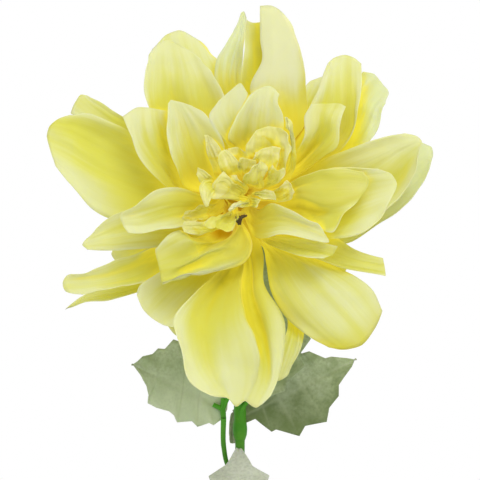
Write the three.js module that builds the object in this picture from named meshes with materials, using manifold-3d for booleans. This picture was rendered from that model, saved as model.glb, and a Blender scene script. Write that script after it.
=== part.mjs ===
import * as THREE from 'three';
import { mergeVertices } from 'three/addons/utils/BufferGeometryUtils.js';
import Module from 'manifold-3d';

const wasm = await Module();
wasm.setup();
const { Manifold, Mesh: SolidMesh } = wasm;

// Vase, in millimetres
const BASE_RADIUS = 36;
const BELLY_RADIUS = 47;
const NECK_RADIUS = 13.5;
const THROAT_RADIUS = 9;
const VASE_HEIGHT = 200;
const FLOOR = 7;

// Stem, its petioles and the pin at its end
const STEM_RADIUS = 1.8;
const UPPER_STEM_RADIUS = 2.45;
const PETIOLE_RADIUS = 0.8;
const PIN_RADIUS = 1.2;
const PIN_LENGTH = 27.5;
const BORE = 1.5;
const GAP = 0.3;

// Bloom: the point behind its petals on the pin's line, and how far it looks up and left, in degrees
const HUB = new THREE.Vector3(0, -31, 340);
const LOOKS_UP = 16;
const LOOKS_LEFT = 5;
const STEM_Y = HUB.y + 22.3;

// Cloth of the petals and the leaves
const PETAL_THICKNESS = 0.7;
const LEAF_THICKNESS = 0.7;

const rad = THREE.MathUtils.degToRad;
const lerp = THREE.MathUtils.lerp;
const clamp = THREE.MathUtils.clamp;
const v3 = (x, y, z) => new THREE.Vector3(x, y, z);

const RIGHT = v3(Math.cos(rad(LOOKS_LEFT)), -Math.sin(rad(LOOKS_LEFT)), 0);
const FACE = v3(RIGHT.y, -RIGHT.x, Math.tan(rad(LOOKS_UP))).normalize();
const UP = FACE.clone().cross(RIGHT);

// Shapes as solids, so that they can be joined and cut
function toSolid(geometry) {
  const bare = geometry.clone();
  bare.deleteAttribute('normal');
  bare.deleteAttribute('uv');
  const merged = mergeVertices(bare, 1e-4);
  const corners = merged.index.array;
  const kept = [];
  for (let i = 0; i < corners.length; i += 3) {
    const [a, b, c] = corners.slice(i, i + 3);
    if (a !== b && b !== c && c !== a) kept.push(a, b, c);
  }
  const mesh = new SolidMesh({
    numProp: 3,
    vertProperties: new Float32Array(merged.attributes.position.array),
    triVerts: new Uint32Array(kept),
  });
  mesh.merge();
  return new Manifold(mesh);
}

function toGeometry(solid) {
  const mesh = solid.getMesh();
  const geometry = new THREE.BufferGeometry();
  geometry.setAttribute('position', new THREE.BufferAttribute(mesh.vertProperties, 3));
  geometry.setIndex(new THREE.BufferAttribute(mesh.triVerts, 1));
  geometry.computeVertexNormals();
  return geometry;
}

// One closed body: what the joining seals off inside is filled, and loose scraps are dropped
function join(solids) {
  const parts = Manifold.union(solids).decompose();
  return parts.reduce((largest, part) => (part.volume() > largest.volume() ? part : largest));
}

// A solid turned on the z axis, moved to stand on a point and to point along a direction
function turned(profile, sides, at = v3(0, 0, 0), along = v3(0, 0, 1)) {
  const geometry = new THREE.LatheGeometry(profile.map(([r, z]) => new THREE.Vector2(r, z)), sides);
  geometry.applyQuaternion(new THREE.Quaternion().setFromUnitVectors(v3(0, 1, 0), along));
  geometry.translate(at.x, at.y, at.z);
  return toSolid(geometry);
}

function tube(points, radius, steps, quarter = 2) {
  const path = new THREE.CatmullRomCurve3(points, false, 'centripetal');
  const circle = new THREE.Shape().absarc(0, 0, radius, 0, Math.PI * 2);
  const options = { steps, curveSegments: quarter * 2, bevelEnabled: false, extrudePath: path };
  return toSolid(new THREE.ExtrudeGeometry(circle, options));
}

// A thin sheet through a grid of points: both of its faces are split into the same triangles
function sheet(rows, thickness) {
  const down = rows.length;
  const across = rows[0].length;
  const front = [];
  const back = [];
  for (let i = 0; i < down; i += 1) {
    for (let j = 0; j < across; j += 1) {
      const alongRows = rows[Math.min(i + 1, down - 1)][j].clone().sub(rows[Math.max(i - 1, 0)][j]);
      const alongRow = rows[i][Math.min(j + 1, across - 1)].clone().sub(rows[i][Math.max(j - 1, 0)]);
      const normal = alongRows.cross(alongRow).normalize().multiplyScalar(thickness / 2);
      front.push(rows[i][j].clone().sub(normal));
      back.push(rows[i][j].clone().add(normal));
    }
  }
  const count = down * across;
  const index = [];
  const quad = (a, b, c, d) => index.push(a, b, c, a, c, d);
  for (let i = 0; i + 1 < down; i += 1) {
    for (let j = 0; j + 1 < across; j += 1) {
      const a = i * across + j;
      quad(a, a + 1, a + across + 1, a + across);
      index.push(count + a, count + a + across + 1, count + a + 1);
      index.push(count + a, count + a + across, count + a + across + 1);
    }
  }
  for (let i = 0; i + 1 < down; i += 1) {
    const left = i * across;
    const right = left + across - 1;
    quad(left, left + across, count + left + across, count + left);
    quad(right + across, right, count + right, count + right + across);
  }
  for (let j = 0; j + 1 < across; j += 1) {
    const last = (down - 1) * across + j;
    quad(j + 1, j, count + j, count + j + 1);
    quad(last, last + 1, count + last + 1, count + last);
  }
  const geometry = new THREE.BufferGeometry();
  const points = front.concat(back).flatMap((p) => [p.x, p.y, p.z]);
  geometry.setAttribute('position', new THREE.Float32BufferAttribute(points, 3));
  geometry.setIndex(index);
  return toSolid(geometry);
}

const bouquet = new THREE.Group();

function place(name, solid, colour, roughness, metalness = 0) {
  const material = new THREE.MeshStandardMaterial({ color: colour, roughness, metalness });
  const mesh = new THREE.Mesh(toGeometry(solid), material);
  mesh.name = name;
  bouquet.add(mesh);
}

// Petals: a petal runs out from the pin and rises towards the viewer by its three angles. Across, it is cupped,
// folded along its middle, or curled at its two edges
const PETAL = {
  bend: 0, point: 2.2, neck: 5.5, wideAt: 0.62, notch: 0.008, round: 0.03, fold: 0, curl: [0, 0], turn: 0,
};

function halfWidth(s, petal) {
  const neck = petal.neck / petal.width;
  const low = neck + (1 - neck) * Math.sin(clamp(s / petal.wideAt, 0, 1) * Math.PI / 2) ** 1.25;
  const over = clamp((s - petal.wideAt) / (1 - petal.wideAt), 0, 1);
  const high = (1 - over ** petal.point) ** (1 / petal.point);
  return petal.width / 2 * (s < petal.wideAt ? low : high);
}

// One line of points across a petal, at s along it
function petalRow(middle, ahead, side, inward, s, petal, across) {
  const half = halfWidth(s, petal);
  const cup = lerp(petal.cup[0], petal.cup[1], clamp(s / 0.6, 0, 1) ** 0.8) * clamp(s / 0.14, 0, 1);
  const grown = clamp((s - 0.15) / 0.5, 0, 1);
  const slices = 16;
  const row = [];
  for (let j = 0; j <= across; j += 1) {
    const u = 2 * j / across - 1;
    const curl = petal.curl[u > 0 ? 1 : 0];
    const step = half * Math.abs(u) / slices;
    let x = 0;
    let z = 0;
    for (let k = 0; k < slices; k += 1) {
      const a = Math.abs(u) * (k + 0.5) / slices;
      const lean = (petal.fold + curl * clamp((a - 0.45) / 0.55, 0, 1) ** 2) * grown + cup * a;
      x += Math.cos(lean) * step;
      z += Math.sin(lean) * step;
    }
    const tooth = -petal.notch * Math.cos(2 * Math.PI * u) - petal.round * u * u;
    const point = middle.clone().addScaledVector(side, Math.sign(u) * x).addScaledVector(inward, z);
    row.push(point.addScaledVector(ahead, petal.length * tooth * s ** 6));
  }
  return row;
}

function petalRows(angle, petal, across, along) {
  const outward = RIGHT.clone().multiplyScalar(Math.cos(rad(angle))).addScaledVector(UP, Math.sin(rad(angle)));
  const sideways = RIGHT.clone().multiplyScalar(-Math.sin(rad(angle))).addScaledVector(UP, Math.cos(rad(angle)));
  const [start, middle, end] = petal.rise.map(rad);
  const steps = 160;
  const rows = [];
  const point = HUB.clone().addScaledVector(outward, petal.root).addScaledVector(FACE, petal.high);
  let row = 0;
  for (let k = 0; k <= steps && row <= along; k += 1) {
    const s = k / steps;
    const rise = (1 - s) ** 2 * start + 2 * s * (1 - s) * middle + s * s * end;
    const bend = rad(petal.bend) * s;
    const ahead = outward.clone().multiplyScalar(Math.cos(rise) * Math.cos(bend));
    ahead.addScaledVector(sideways, Math.cos(rise) * Math.sin(bend)).addScaledVector(FACE, Math.sin(rise));
    const t = row / along;
    const stop = 0.975 * (0.55 * t + 0.45 * Math.sin(t * Math.PI / 2));
    if (s + 0.5 / steps >= stop) {
      const cross = outward.clone().multiplyScalar(-Math.sin(bend)).addScaledVector(sideways, Math.cos(bend));
      cross.addScaledVector(ahead, -cross.dot(ahead)).normalize();
      const inward = ahead.clone().cross(cross);
      const turn = rad(petal.turn) * s * s * (3 - 2 * s);
      const side = cross.clone().multiplyScalar(Math.cos(turn)).addScaledVector(inward, Math.sin(turn));
      inward.multiplyScalar(Math.cos(turn)).addScaledVector(cross, -Math.sin(turn));
      rows.push(petalRow(point, ahead, side, inward, stop, petal, across));
      row += 1;
    }
    point.addScaledVector(ahead, petal.length / steps);
  }
  return rows;
}

// Rounds of petals, from the back one forward. Each petal: its angle round the pin, its length, its width
const ROUNDS = [
  {
    high: 1.5, root: 3.5, rise: [8, 0, -12], cup: [0.8, 0.3], grid: [4, 7], sleeve: 6,
    petals: [
      [8, 76, 40, { point: 1.7, bend: 18, wideAt: 0.5 }],
      [63, 62, 22],
      [109, 72, 28, { bend: -6 }],
      [150, 78, 17, { point: 2.2, bend: -12 }],
      [210, 77, 12, { point: 1.6 }],
      [248, 56, 32],
    ],
  },
  {
    high: 5, root: 3.5, rise: [12, 3, -10], cup: [0.8, 0.3], grid: [4, 7], sleeve: 6,
    petals: [
      [41, 71, 30, { point: 2.8 }],
      [96, 80, 19, { point: 1.6, bend: -14 }],
      [201, 53, 24],
      [291, 71, 26, { bend: -16 }],
      [329, 53, 24],
    ],
  },
  {
    high: 8.5, root: 3.5, rise: [17, 6, -8], cup: [0.9, 0.35], grid: [4, 7], sleeve: 5.8,
    petals: [
      [9, 75, 26, { point: 2.6, bend: 14, wideAt: 0.75 }],
      [52, 72, 19, { point: 3, bend: 4 }],
      [169, 77, 40, { point: 2.8, bend: -24, notch: 0.02 }],
      [211, 74, 11, { point: 2.4, bend: -8, cup: [1.6, 1.2] }],
      [237, 54, 33],
      [315, 73, 37, { point: 2.4 }],
    ],
  },
  {
    high: 12, root: 3.5, rise: [22, 8, -6], cup: [1.0, 0.4], grid: [4, 7], sleeve: 5.5,
    petals: [
      [72, 78, 28, { point: 2.3, bend: 20, curl: [0, 2.4] }],
      [116, 70, 32, { point: 2.4, bend: -8 }],
      [199, 60, 20, { point: 2 }],
      [268, 81, 42, { point: 2.6, bend: 14, notch: 0.025 }],
      [334, 63, 12, { point: 3 }],
    ],
  },
  {
    high: 15.5, root: 4, rise: [34, 20, 0], cup: [1.2, 0.6], wideAt: 0.66, grid: [4, 5], sleeve: 5.2,
    petals: [
      [356, 62, 26],
      [32, 49, 19, { point: 3.4, bend: 24 }],
      [152, 49, 23, { point: 3, bend: -28 }],
      [230, 42, 29, { point: 3, notch: 0.02 }],
      [325, 49, 16],
    ],
  },
  {
    high: 18.5, root: 3.8, rise: [42, 28, 4], cup: [1.2, 0.6], wideAt: 0.66, grid: [4, 5], sleeve: 4.8,
    petals: [
      [355, 54, 23],
      [70, 43, 18],
      [88, 42, 15, { point: 1.8 }],
      [120, 39, 20, { point: 2.4 }],
      [202, 45, 21],
      [331, 41, 14, { rise: [48, 34, 8] }],
    ],
  },
  {
    high: 21.5, root: 3.6, rise: [54, 40, 6], cup: [1.1, 0.7], neck: 4, wideAt: 0.68, grid: [2, 5], sleeve: 4.4,
    petals: [
      [5, 23, 12, { point: 1.6, fold: 0.4 }],
      [34, 28, 13, { fold: 0.3 }],
      [63, 28, 17],
      [89, 25, 14],
      [119, 25, 15, { point: 1.5, fold: 0.3, rise: [46, 32, 4] }],
      [189, 22, 14],
      [214, 27, 12, { point: 1.6, fold: 0.2 }],
      [243, 28, 14],
    ],
  },
  {
    high: 24.2, root: 3, rise: [62, 50, 16], cup: [1.1, 0.7], neck: 4, wideAt: 0.66, grid: [2, 5], sleeve: 3.6,
    petals: [
      [19, 24, 12, { point: 1.5, fold: 0.3 }],
      [59, 22, 13],
      [92, 18, 11, { point: 1.5, rise: [70, 62, 30] }],
      [151, 17, 13, { point: 1.6, rise: [68, 56, 18] }],
      [188, 15, 13, { fold: 0.4 }],
      [225, 23, 12, { point: 1.6 }],
      [260, 21, 11],
      [342, 21, 11, { fold: 0.4 }],
    ],
  },
  {
    high: 27.2, root: 2.2, rise: [76, 66, 30], cup: [1.2, 0.9], neck: 3, wideAt: 0.6, grid: [2, 3], sleeve: 2.8,
    petals: [
      [42, 17, 11, { point: 1.4, fold: 0.4 }],
      [114, 13, 13, { point: 1.4, fold: 0.3 }],
      [171, 12, 10],
      [229, 13, 10, { point: 1.6, fold: 0.4, rise: [80, 90, 70] }],
      [300, 11, 12, { rise: [84, 108, 150] }],
      [355, 15, 10, { point: 1.6 }],
    ],
  },
];

function roundOfPetals(round, thickness = PETAL_THICKNESS) {
  return round.petals.map(([angle, length, width, apart = {}]) => {
    const petal = { ...PETAL, ...round, length, width, ...apart };
    return sheet(petalRows(angle, petal, ...round.grid), thickness);
  });
}

// Each round is threaded on the pin by the sleeve that its petals grow from. The last one is closed over the pin
ROUNDS.forEach((round, i) => {
  const last = i + 1 === ROUNDS.length;
  const bottom = round.high - 1.2;
  const top = last ? round.high + 2 : ROUNDS[i + 1].high - 1.2 - GAP;
  const wall = [[BORE, bottom], [round.sleeve, bottom], [round.sleeve, top]];
  const end = PIN_LENGTH + GAP;
  const ring = last ? [[0, end], [BORE, end], ...wall, [0, top]] : [...wall, [BORE, top], [BORE, bottom]];
  const sleeve = turned(ring, 10, HUB, FACE);
  place(`petal_round_${i + 1}`, join([sleeve, ...roundOfPetals(round)]), 0xe8e080, 0.75);
});

// Calyx: the plastic cup behind the petals, with its sepals
const cup = [[3, -9], [4.4, -9], [6.4, -4], [7, 0], [BORE, 0], [BORE, -3], [3, -3], [3, -9]];
const sepals = [20, 78, 141, 198, 262, 320].map((angle) => {
  const sepal = {
    ...PETAL, length: 17, width: 9, neck: 6.5, root: 4.5, high: -1.6, rise: [-2, -8, -14], cup: [0.5, 0.3],
    wideAt: 0.35, point: 1.3,
  };
  return sheet(petalRows(angle, sepal, 2, 4), 0.9);
});
place('calyx', join([turned(cup, 16, HUB, FACE), ...sepals]), 0x4f9a2c, 0.5);

// Leaves: a leaf lies along one direction and across another. The third, their product, faces the viewer
class Leaf {
  constructor(base, along, across, bow, fold, edges) {
    this.base = base;
    this.along = along.normalize();
    this.across = across.addScaledVector(this.along, -across.dot(this.along)).normalize();
    this.facing = this.along.clone().cross(this.across);
    this.bow = bow;
    this.fold = fold;
    this.edges = edges;
    this.length = edges.length;
  }

  at(a, b, off = 0) {
    const depth = this.bow * (a / this.length) ** 2 + this.fold * Math.abs(b) + off;
    const point = this.base.clone().addScaledVector(this.along, a).addScaledVector(this.across, b);
    return point.addScaledVector(this.facing, depth);
  }

  solid() {
    const { left, right, length } = this.edges;
    const rows = [[-0.8, -1, -0.8, 1]].concat(left.map((p, i) => [...p, ...right[i]]));
    rows.push([length, 0.4, length, -0.4]);
    let rib = -2;
    const grid = rows.map(([la, lb, ra, rb], i) => {
      const last = i + 1 === rows.length;
      rib = last ? length + 0.3 : Math.min(Math.max(rib + 0.7, (la + ra) * 0.45), length - 0.6);
      if (i === 0) rib = -1;
      return [
        this.at(la, lb), this.at((la + rib) / 2, lb / 2), this.at(rib, 0),
        this.at((ra + rib) / 2, rb / 2), this.at(ra, rb),
      ];
    });
    return sheet(grid, LEAF_THICKNESS);
  }

  // The petiole's end lies on the leaf's face or back in three prongs
  prongs(side, start, tips = [[11, 0], [7.5, 4], [7.5, -4]]) {
    const off = side * (LEAF_THICKNESS / 2 + GAP + PETIOLE_RADIUS + 0.15);
    return tips.map(([a, b]) => tube([start, this.at(0.5, b * 0.05, off), this.at(a, b, off)], PETIOLE_RADIUS, 3, 1.5));
  }
}

// A coarse-toothed leaf outline: points along and out, one list for each edge
function toothed(length, half, teeth, full = 0.72) {
  const edge = [];
  for (let k = 0; k < teeth; k += 1) {
    const t = (k + 0.55) / (teeth + 0.3);
    const out = (s) => half * Math.sin(Math.PI * s ** full) ** full;
    edge.push([length * t, out(t)]);
    edge.push([length * (t + 0.32 / teeth), out(t + 0.32 / teeth) * 0.8]);
  }
  return edge;
}

function pair(length, left, right) {
  return { length, left, right };
}

const mirrored = (edge) => edge.map(([a, b]) => [a, -b]);

const leftLeaf = new Leaf(v3(-6.4, STEM_Y - 4.5, 261.5), v3(-0.896, 0.08, 0.444), v3(-0.444, 0, -0.896), 2, 0.1, pair(
  41,
  [
    [1, -5.5], [4, -11.5], [9.5, -16.5], [14, -18], [18, -21.5], [21, -19.5], [26, -21],
    [27, -17], [30.5, -16.5], [32, -11.5], [34.5, -10.5], [35.5, -7.5], [38.5, -5], [39.5, -2.5],
  ],
  [
    [-0.8, 2.5], [-0.5, 4], [1, 7], [3, 7], [6.5, 10.5], [9.5, 9.5], [14.5, 12.5],
    [17, 10.5], [19.5, 10], [24.5, 11], [28.5, 11], [29.5, 8], [32, 5], [35.5, 2.5],
  ],
));
const rightLeaf = new Leaf(v3(5.2, STEM_Y + 1.5, 260.5), v3(0.893, 0.1, 0.452), v3(-0.452, 0, 0.893), 3, 0.12, pair(
  46.5,
  [
    [-0.5, -3], [3, -10.5], [5, -10.5], [12, -17], [16, -14.5], [24.5, -17], [28, -12.5],
    [33.5, -10], [35.5, -6], [39.5, -4], [43.5, -2],
  ],
  [
    [3.5, 4.5], [7, 8.5], [11, 10], [15, 13.5], [20, 13], [25.5, 15], [28, 12],
    [31, 11.5], [35.5, 6], [38, 5.5], [43.5, 2],
  ],
));
const backLeaf = new Leaf(v3(4.2, STEM_Y - 5, 266), v3(12, -3, 57), v3(-57, 0, 12), 0, 0.08, pair(
  58, mirrored(toothed(58, 19, 5)), toothed(58, 13, 5),
));
const frontLeaf = new Leaf(v3(-0.4, STEM_Y - 3.6, 245.5), v3(0, -33, -31), v3(1, 0, 0), -4, 0.06, pair(
  46, mirrored(toothed(46, 17, 5, 1.1)), toothed(46, 17, 5, 1.1),
));
const narrowLeaf = new Leaf(v3(-3, STEM_Y + 3.7, 248.5), v3(0.04, 0, 1), v3(-1, 0.1, 0), 1, 0, pair(
  12.5, [[1, -1.2], [4, -1.6], [8, -1.5], [11, -1]], [[1, 1.2], [4, 1.6], [8, 1.5], [11, 1]],
));

place('leaf_left', leftLeaf.solid(), 0xa9b78e, 0.85);
place('leaf_right', rightLeaf.solid(), 0xa3b283, 0.85);
place('leaf_back', backLeaf.solid(), 0x9aaa80, 0.85);
place('leaf_front', frontLeaf.solid(), 0xc2c8b0, 0.85);
place('leaf_narrow', narrowLeaf.solid(), 0x8f947a, 0.85);

// Stem: it stands on the vase's floor, leans on the front of its throat, and bends forward behind the bloom
const onPin = (k) => HUB.clone().addScaledVector(FACE, k);
const rimY = -(THROAT_RADIUS - GAP - STEM_RADIUS - 0.1);
const lowerStem = tube([
  v3(0, 12, FLOOR + 0.5), v3(0, 3, 98), v3(0, rimY, VASE_HEIGHT - 4), v3(0, STEM_Y + 0.3, 235), v3(0, STEM_Y, 256),
], STEM_RADIUS, 14);
const upperStem = tube([
  v3(0, STEM_Y, 252), v3(0, STEM_Y, 290), v3(0.4, STEM_Y, 315), v3(1, STEM_Y - 1, 325), v3(1.3, STEM_Y - 4.4, 331.6),
  onPin(-13), onPin(-10), onPin(-7), onPin(-3.3),
], UPPER_STEM_RADIUS, 18);
const pin = turned([[0, -4.5], [PIN_RADIUS, -4.5], [PIN_RADIUS, PIN_LENGTH], [0, PIN_LENGTH]], 10, HUB, FACE);
const upperCollar = turned([[0, 0], [1.7, 0], [2.9, 3], [2.9, 6], [2.4, 9], [0, 9]], 10, v3(0, STEM_Y, 248.5));
const lowerCollar = turned([[0, 0], [1.7, 0], [2.7, 3], [2.7, 6], [1.7, 9], [0, 9]], 10, v3(0, STEM_Y + 0.1, 234));

function petiole(points) {
  return tube(points, PETIOLE_RADIUS, 6, 1.5);
}

const ends = {
  left: leftLeaf.at(-1.2, 2.5, 1.6),
  right: rightLeaf.at(-2, 0, -1.6),
  back: backLeaf.at(-3, 0, -1.6),
  front: frontLeaf.at(-2, 0, -1.6),
};
const petioles = [
  petiole([v3(-1, STEM_Y, 237), v3(-4.4, STEM_Y - 1, 238.5), v3(-7, STEM_Y - 3, 247), ends.left]),
  ...leftLeaf.prongs(1, ends.left, [[8, -0.7], [5.5, -4.8], [1.6, -5.2]]),
  petiole([v3(0.6, STEM_Y, 255.5), v3(2.6, STEM_Y + 2, 257.5), ends.right]),
  ...rightLeaf.prongs(-1, ends.right),
  petiole([v3(0.4, STEM_Y - 0.4, 256), v3(2.6, STEM_Y - 1.4, 259), ends.back]),
  ...backLeaf.prongs(-1, ends.back),
  petiole([v3(0, STEM_Y - 0.5, 240), v3(-0.3, STEM_Y - 2.4, 242), ends.front]),
  ...frontLeaf.prongs(-1, ends.front),
];
place('stem', join([lowerStem, upperStem, pin, upperCollar, lowerCollar, ...petioles]), 0x4a9628, 0.45);

// Vase: thrown in one piece, hollow, with a bare foot
const outside = new THREE.CatmullRomCurve3([
  v3(BASE_RADIUS, 2, 0), v3(BELLY_RADIUS - 1.5, 38, 0), v3(BELLY_RADIUS, 64, 0), v3(36, 98, 0), v3(20, 128, 0),
  v3(NECK_RADIUS, 158, 0), v3(NECK_RADIUS + 0.5, 184, 0), v3(17, 197, 0),
]).getPoints(11);
const inside = new THREE.CatmullRomCurve3([
  v3(THROAT_RADIUS + 0.5, 199, 0), v3(THROAT_RADIUS, 194, 0), v3(THROAT_RADIUS, 160, 0), v3(15, 131, 0),
  v3(31, 98, 0), v3(BELLY_RADIUS - 4.5, 64, 0), v3(BELLY_RADIUS - 6, 38, 0), v3(28, FLOOR + 2, 0),
]).getPoints(9);
const profile = [
  [0, 0], [BASE_RADIUS - 2, 0], ...outside.map((p) => [p.x, p.y]), [15.6, VASE_HEIGHT - 0.6], [13.5, VASE_HEIGHT],
  [11, VASE_HEIGHT], ...inside.map((p) => [p.x, p.y]), [22, FLOOR], [0, FLOOR],
];
place('vase', turned(profile, 24), 0xeceae4, 0.25);

export default bouquet;
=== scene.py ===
import math

import bpy
import numpy as np
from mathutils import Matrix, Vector
from mathutils.bvhtree import BVHTree


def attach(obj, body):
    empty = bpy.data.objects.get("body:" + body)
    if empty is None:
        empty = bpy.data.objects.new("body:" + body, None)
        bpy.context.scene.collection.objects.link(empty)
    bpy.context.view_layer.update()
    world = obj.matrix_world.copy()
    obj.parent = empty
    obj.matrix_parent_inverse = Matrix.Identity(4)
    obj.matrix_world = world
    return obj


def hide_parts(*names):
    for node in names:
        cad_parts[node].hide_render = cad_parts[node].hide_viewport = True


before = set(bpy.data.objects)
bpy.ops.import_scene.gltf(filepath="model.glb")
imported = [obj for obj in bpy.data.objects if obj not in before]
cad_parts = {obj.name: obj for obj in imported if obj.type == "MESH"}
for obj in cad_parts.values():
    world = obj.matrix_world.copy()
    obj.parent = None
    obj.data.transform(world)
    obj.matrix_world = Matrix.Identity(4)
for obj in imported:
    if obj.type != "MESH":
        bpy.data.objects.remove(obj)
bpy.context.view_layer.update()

# Vase. A bud vase thrown in pale stoneware and glazed inside and out. The thrower's fingers have left faint rings
# in its wall, and the glaze stops above the bare foot that it stands on.
MM = 0.001
BASE_RADIUS = 36
BELLY_RADIUS = 47
NECK_RADIUS = 13.5
THROAT_RADIUS = 9
VASE_HEIGHT = 200
VASE_FLOOR = 7
VASE_SIDES = 96
RING_DEPTH = 0.12
RING_SPACING = 4.4
STONEWARE = (0.56, 0.44, 0.32)
GLAZE = (0.80, 0.78, 0.72)
GLAZE_WARM = (0.74, 0.69, 0.60)
SPECK = (0.36, 0.27, 0.18)
RINGED_HEIGHTS = (8, 190)
GLAZE_STOPS = (0.0035, 0.0042)


def smooth_curve(points, count):
    """Points at even steps along the smooth curve that runs through the given ones."""
    points = np.array(points, float)
    led = np.vstack([2 * points[0] - points[1], points, 2 * points[-1] - points[-2]])
    found = []
    for t in np.linspace(0, len(points) - 1, count):
        i = min(int(t), len(points) - 2)
        w = t - i
        a, b, c, d = led[i : i + 4]
        d0, d1, d2 = np.linalg.norm(np.diff(led[i : i + 4], axis=0), axis=1) ** 0.5
        leaves = ((b - a) / d0 - (c - a) / (d0 + d1) + (c - b) / d1) * d1
        arrives = ((c - b) / d1 - (d - b) / (d1 + d2) + (d - c) / d2) * d1
        near = (2 * w**3 - 3 * w**2 + 1) * b + (w**3 - 2 * w**2 + w) * leaves
        found.append(near + (3 * w**2 - 2 * w**3) * c + (w**3 - w**2) * arrives)
    return np.array(found)


def plain_mesh(name, points, faces, edges=()):
    """An object with its place in its mesh. Points are in millimetres."""
    mesh = bpy.data.meshes.new(name)
    mesh.from_pydata((np.array(points) * MM).tolist(), list(edges), [list(map(int, f)) for f in faces])
    mesh.polygons.foreach_set("use_smooth", [True] * len(mesh.polygons))
    made = bpy.data.objects.new(name, mesh)
    bpy.context.scene.collection.objects.link(made)
    return made


def turned_faces(profile, sides, at=(0, 0, 0), along=(0, 0, 1)):
    """Points and faces of a profile turned round a line. It starts and ends on the line, or closes on itself."""
    along = np.array(along, float) / np.linalg.norm(along)
    first = np.cross(along, (0, 1, 0) if abs(along[1]) < 0.9 else (0, 0, 1))
    first /= np.linalg.norm(first)
    second = np.cross(along, first)
    profile = list(map(tuple, profile))
    looped = profile[0] == profile[-1]
    rows, points, faces = [], [], []
    for r, z in profile[:-1] if looped else profile:
        count = 1 if r == 0 else sides
        rows.append(list(range(len(points), len(points) + count)))
        for k in range(count):
            turn = 2 * math.pi * k / sides
            points.append(np.array(at) + along * z + r * (first * math.cos(turn) + second * math.sin(turn)))
    pairs = list(zip(rows, rows[1:])) + ([(rows[-1], rows[0])] if looped else [])
    for low, high in pairs:
        for k in range(sides):
            n = (k + 1) % sides
            corners = [low[k % len(low)], low[n % len(low)], high[n % len(high)], high[k % len(high)]]
            faces.append(list(dict.fromkeys(corners)))
    return points, faces


class Wire:
    """A socket of a node tree. Sums on it add Math nodes to the tree, and node() adds any other node."""

    def __init__(self, tree, socket=None):
        self.tree = tree
        self.socket = socket

    def node(self, kind, sockets=(), settings=(), out=0):
        made = self.tree.nodes.new(kind)
        for name, setting in dict(settings).items():
            setattr(made, name, setting)
        for key, value in dict(sockets).items():
            if isinstance(value, Wire):
                self.tree.links.new(value.socket, made.inputs[key])
            else:
                made.inputs[key].default_value = value
        return Wire(self.tree, made.outputs[out] if len(made.outputs) else None)

    def math(self, operation, *terms):
        return self.node("ShaderNodeMath", enumerate(terms), {"operation": operation})

    def __add__(self, other):
        return self.math("ADD", self, other)

    def __sub__(self, other):
        return self.math("SUBTRACT", self, other)

    def __rsub__(self, other):
        return self.math("SUBTRACT", other, self)

    def __mul__(self, other):
        return self.math("MULTIPLY", self, other)

    def __pow__(self, other):
        return self.math("POWER", self, other)

    __radd__ = __add__
    __rmul__ = __mul__

    def between(self, low, high):
        """0 below low, 1 above high, and a smooth rise from one to the other."""
        sockets = {0: self, 1: low, 2: high}
        return self.node("ShaderNodeMapRange", sockets, {"interpolation_type": "SMOOTHSTEP"})

    def vector(self, x, y, z):
        return self.node("ShaderNodeCombineXYZ", {0: x, 1: y, 2: z})

    def noise(self, vector, scale, detail=2, rough=0.5):
        sockets = {"Vector": vector, "Scale": scale, "Detail": detail, "Roughness": rough}
        return self.node("ShaderNodeTexNoise", sockets)

    def bump(self, height, strength, distance=0.0002):
        return self.node("ShaderNodeBump", {"Strength": strength, "Distance": distance, "Height": height})

    def tint(self, share, first, second):
        """A colour: the first where share is 0, the second where it is 1."""
        sockets = {0: share}
        for key, colour in ((6, first), (7, second)):
            sockets[key] = colour if isinstance(colour, Wire) else (*colour, 1)
        return self.node("ShaderNodeMix", sockets, {"data_type": "RGBA"}, out=2)


def finish_of(name):
    """A new material and the wire that its nodes are drawn from."""
    material = bpy.data.materials.new(name)
    material.use_nodes = True
    material.node_tree.nodes.clear()
    return material, Wire(material.node_tree)


def surface(wire, sockets):
    """The material's shader and its output."""
    shader = wire.node("ShaderNodeBsdfPrincipled", sockets)
    wire.node("ShaderNodeOutputMaterial", {"Surface": shader})


outside = smooth_curve(
    [
        (BASE_RADIUS, 2), (BELLY_RADIUS - 1.5, 38), (BELLY_RADIUS, 64), (36, 98), (20, 128),
        (NECK_RADIUS, 158), (NECK_RADIUS + 0.5, 184), (17, 197),
    ],
    120,
)
inside = smooth_curve(
    [
        (THROAT_RADIUS + 0.5, 199), (THROAT_RADIUS, 194), (THROAT_RADIUS, 160), (15, 131),
        (31, 98), (BELLY_RADIUS - 4.5, 64), (BELLY_RADIUS - 6, 38), (28, VASE_FLOOR + 2),
    ],
    60,
)
ringed = []
for r, z in outside:
    if RINGED_HEIGHTS[0] < z < RINGED_HEIGHTS[1]:
        r -= RING_DEPTH * (1 + math.cos(z * 2 * math.pi / RING_SPACING))
    ringed.append((r, z))
foot = [(0, 0.8), (BASE_RADIUS - 8, 0.8), (BASE_RADIUS - 7, 0), (BASE_RADIUS - 1.6, 0), (BASE_RADIUS - 0.6, 0.5)]
lip = [(17, 198.4), (16.3, 199.5), (15, VASE_HEIGHT), (12, VASE_HEIGHT), (10.4, 199.6)]
bottom = [(22, VASE_FLOOR), (0, VASE_FLOOR)]
vase = plain_mesh("vase_ware", *turned_faces([*foot, *ringed, *lip, *inside, *bottom], VASE_SIDES))

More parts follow.
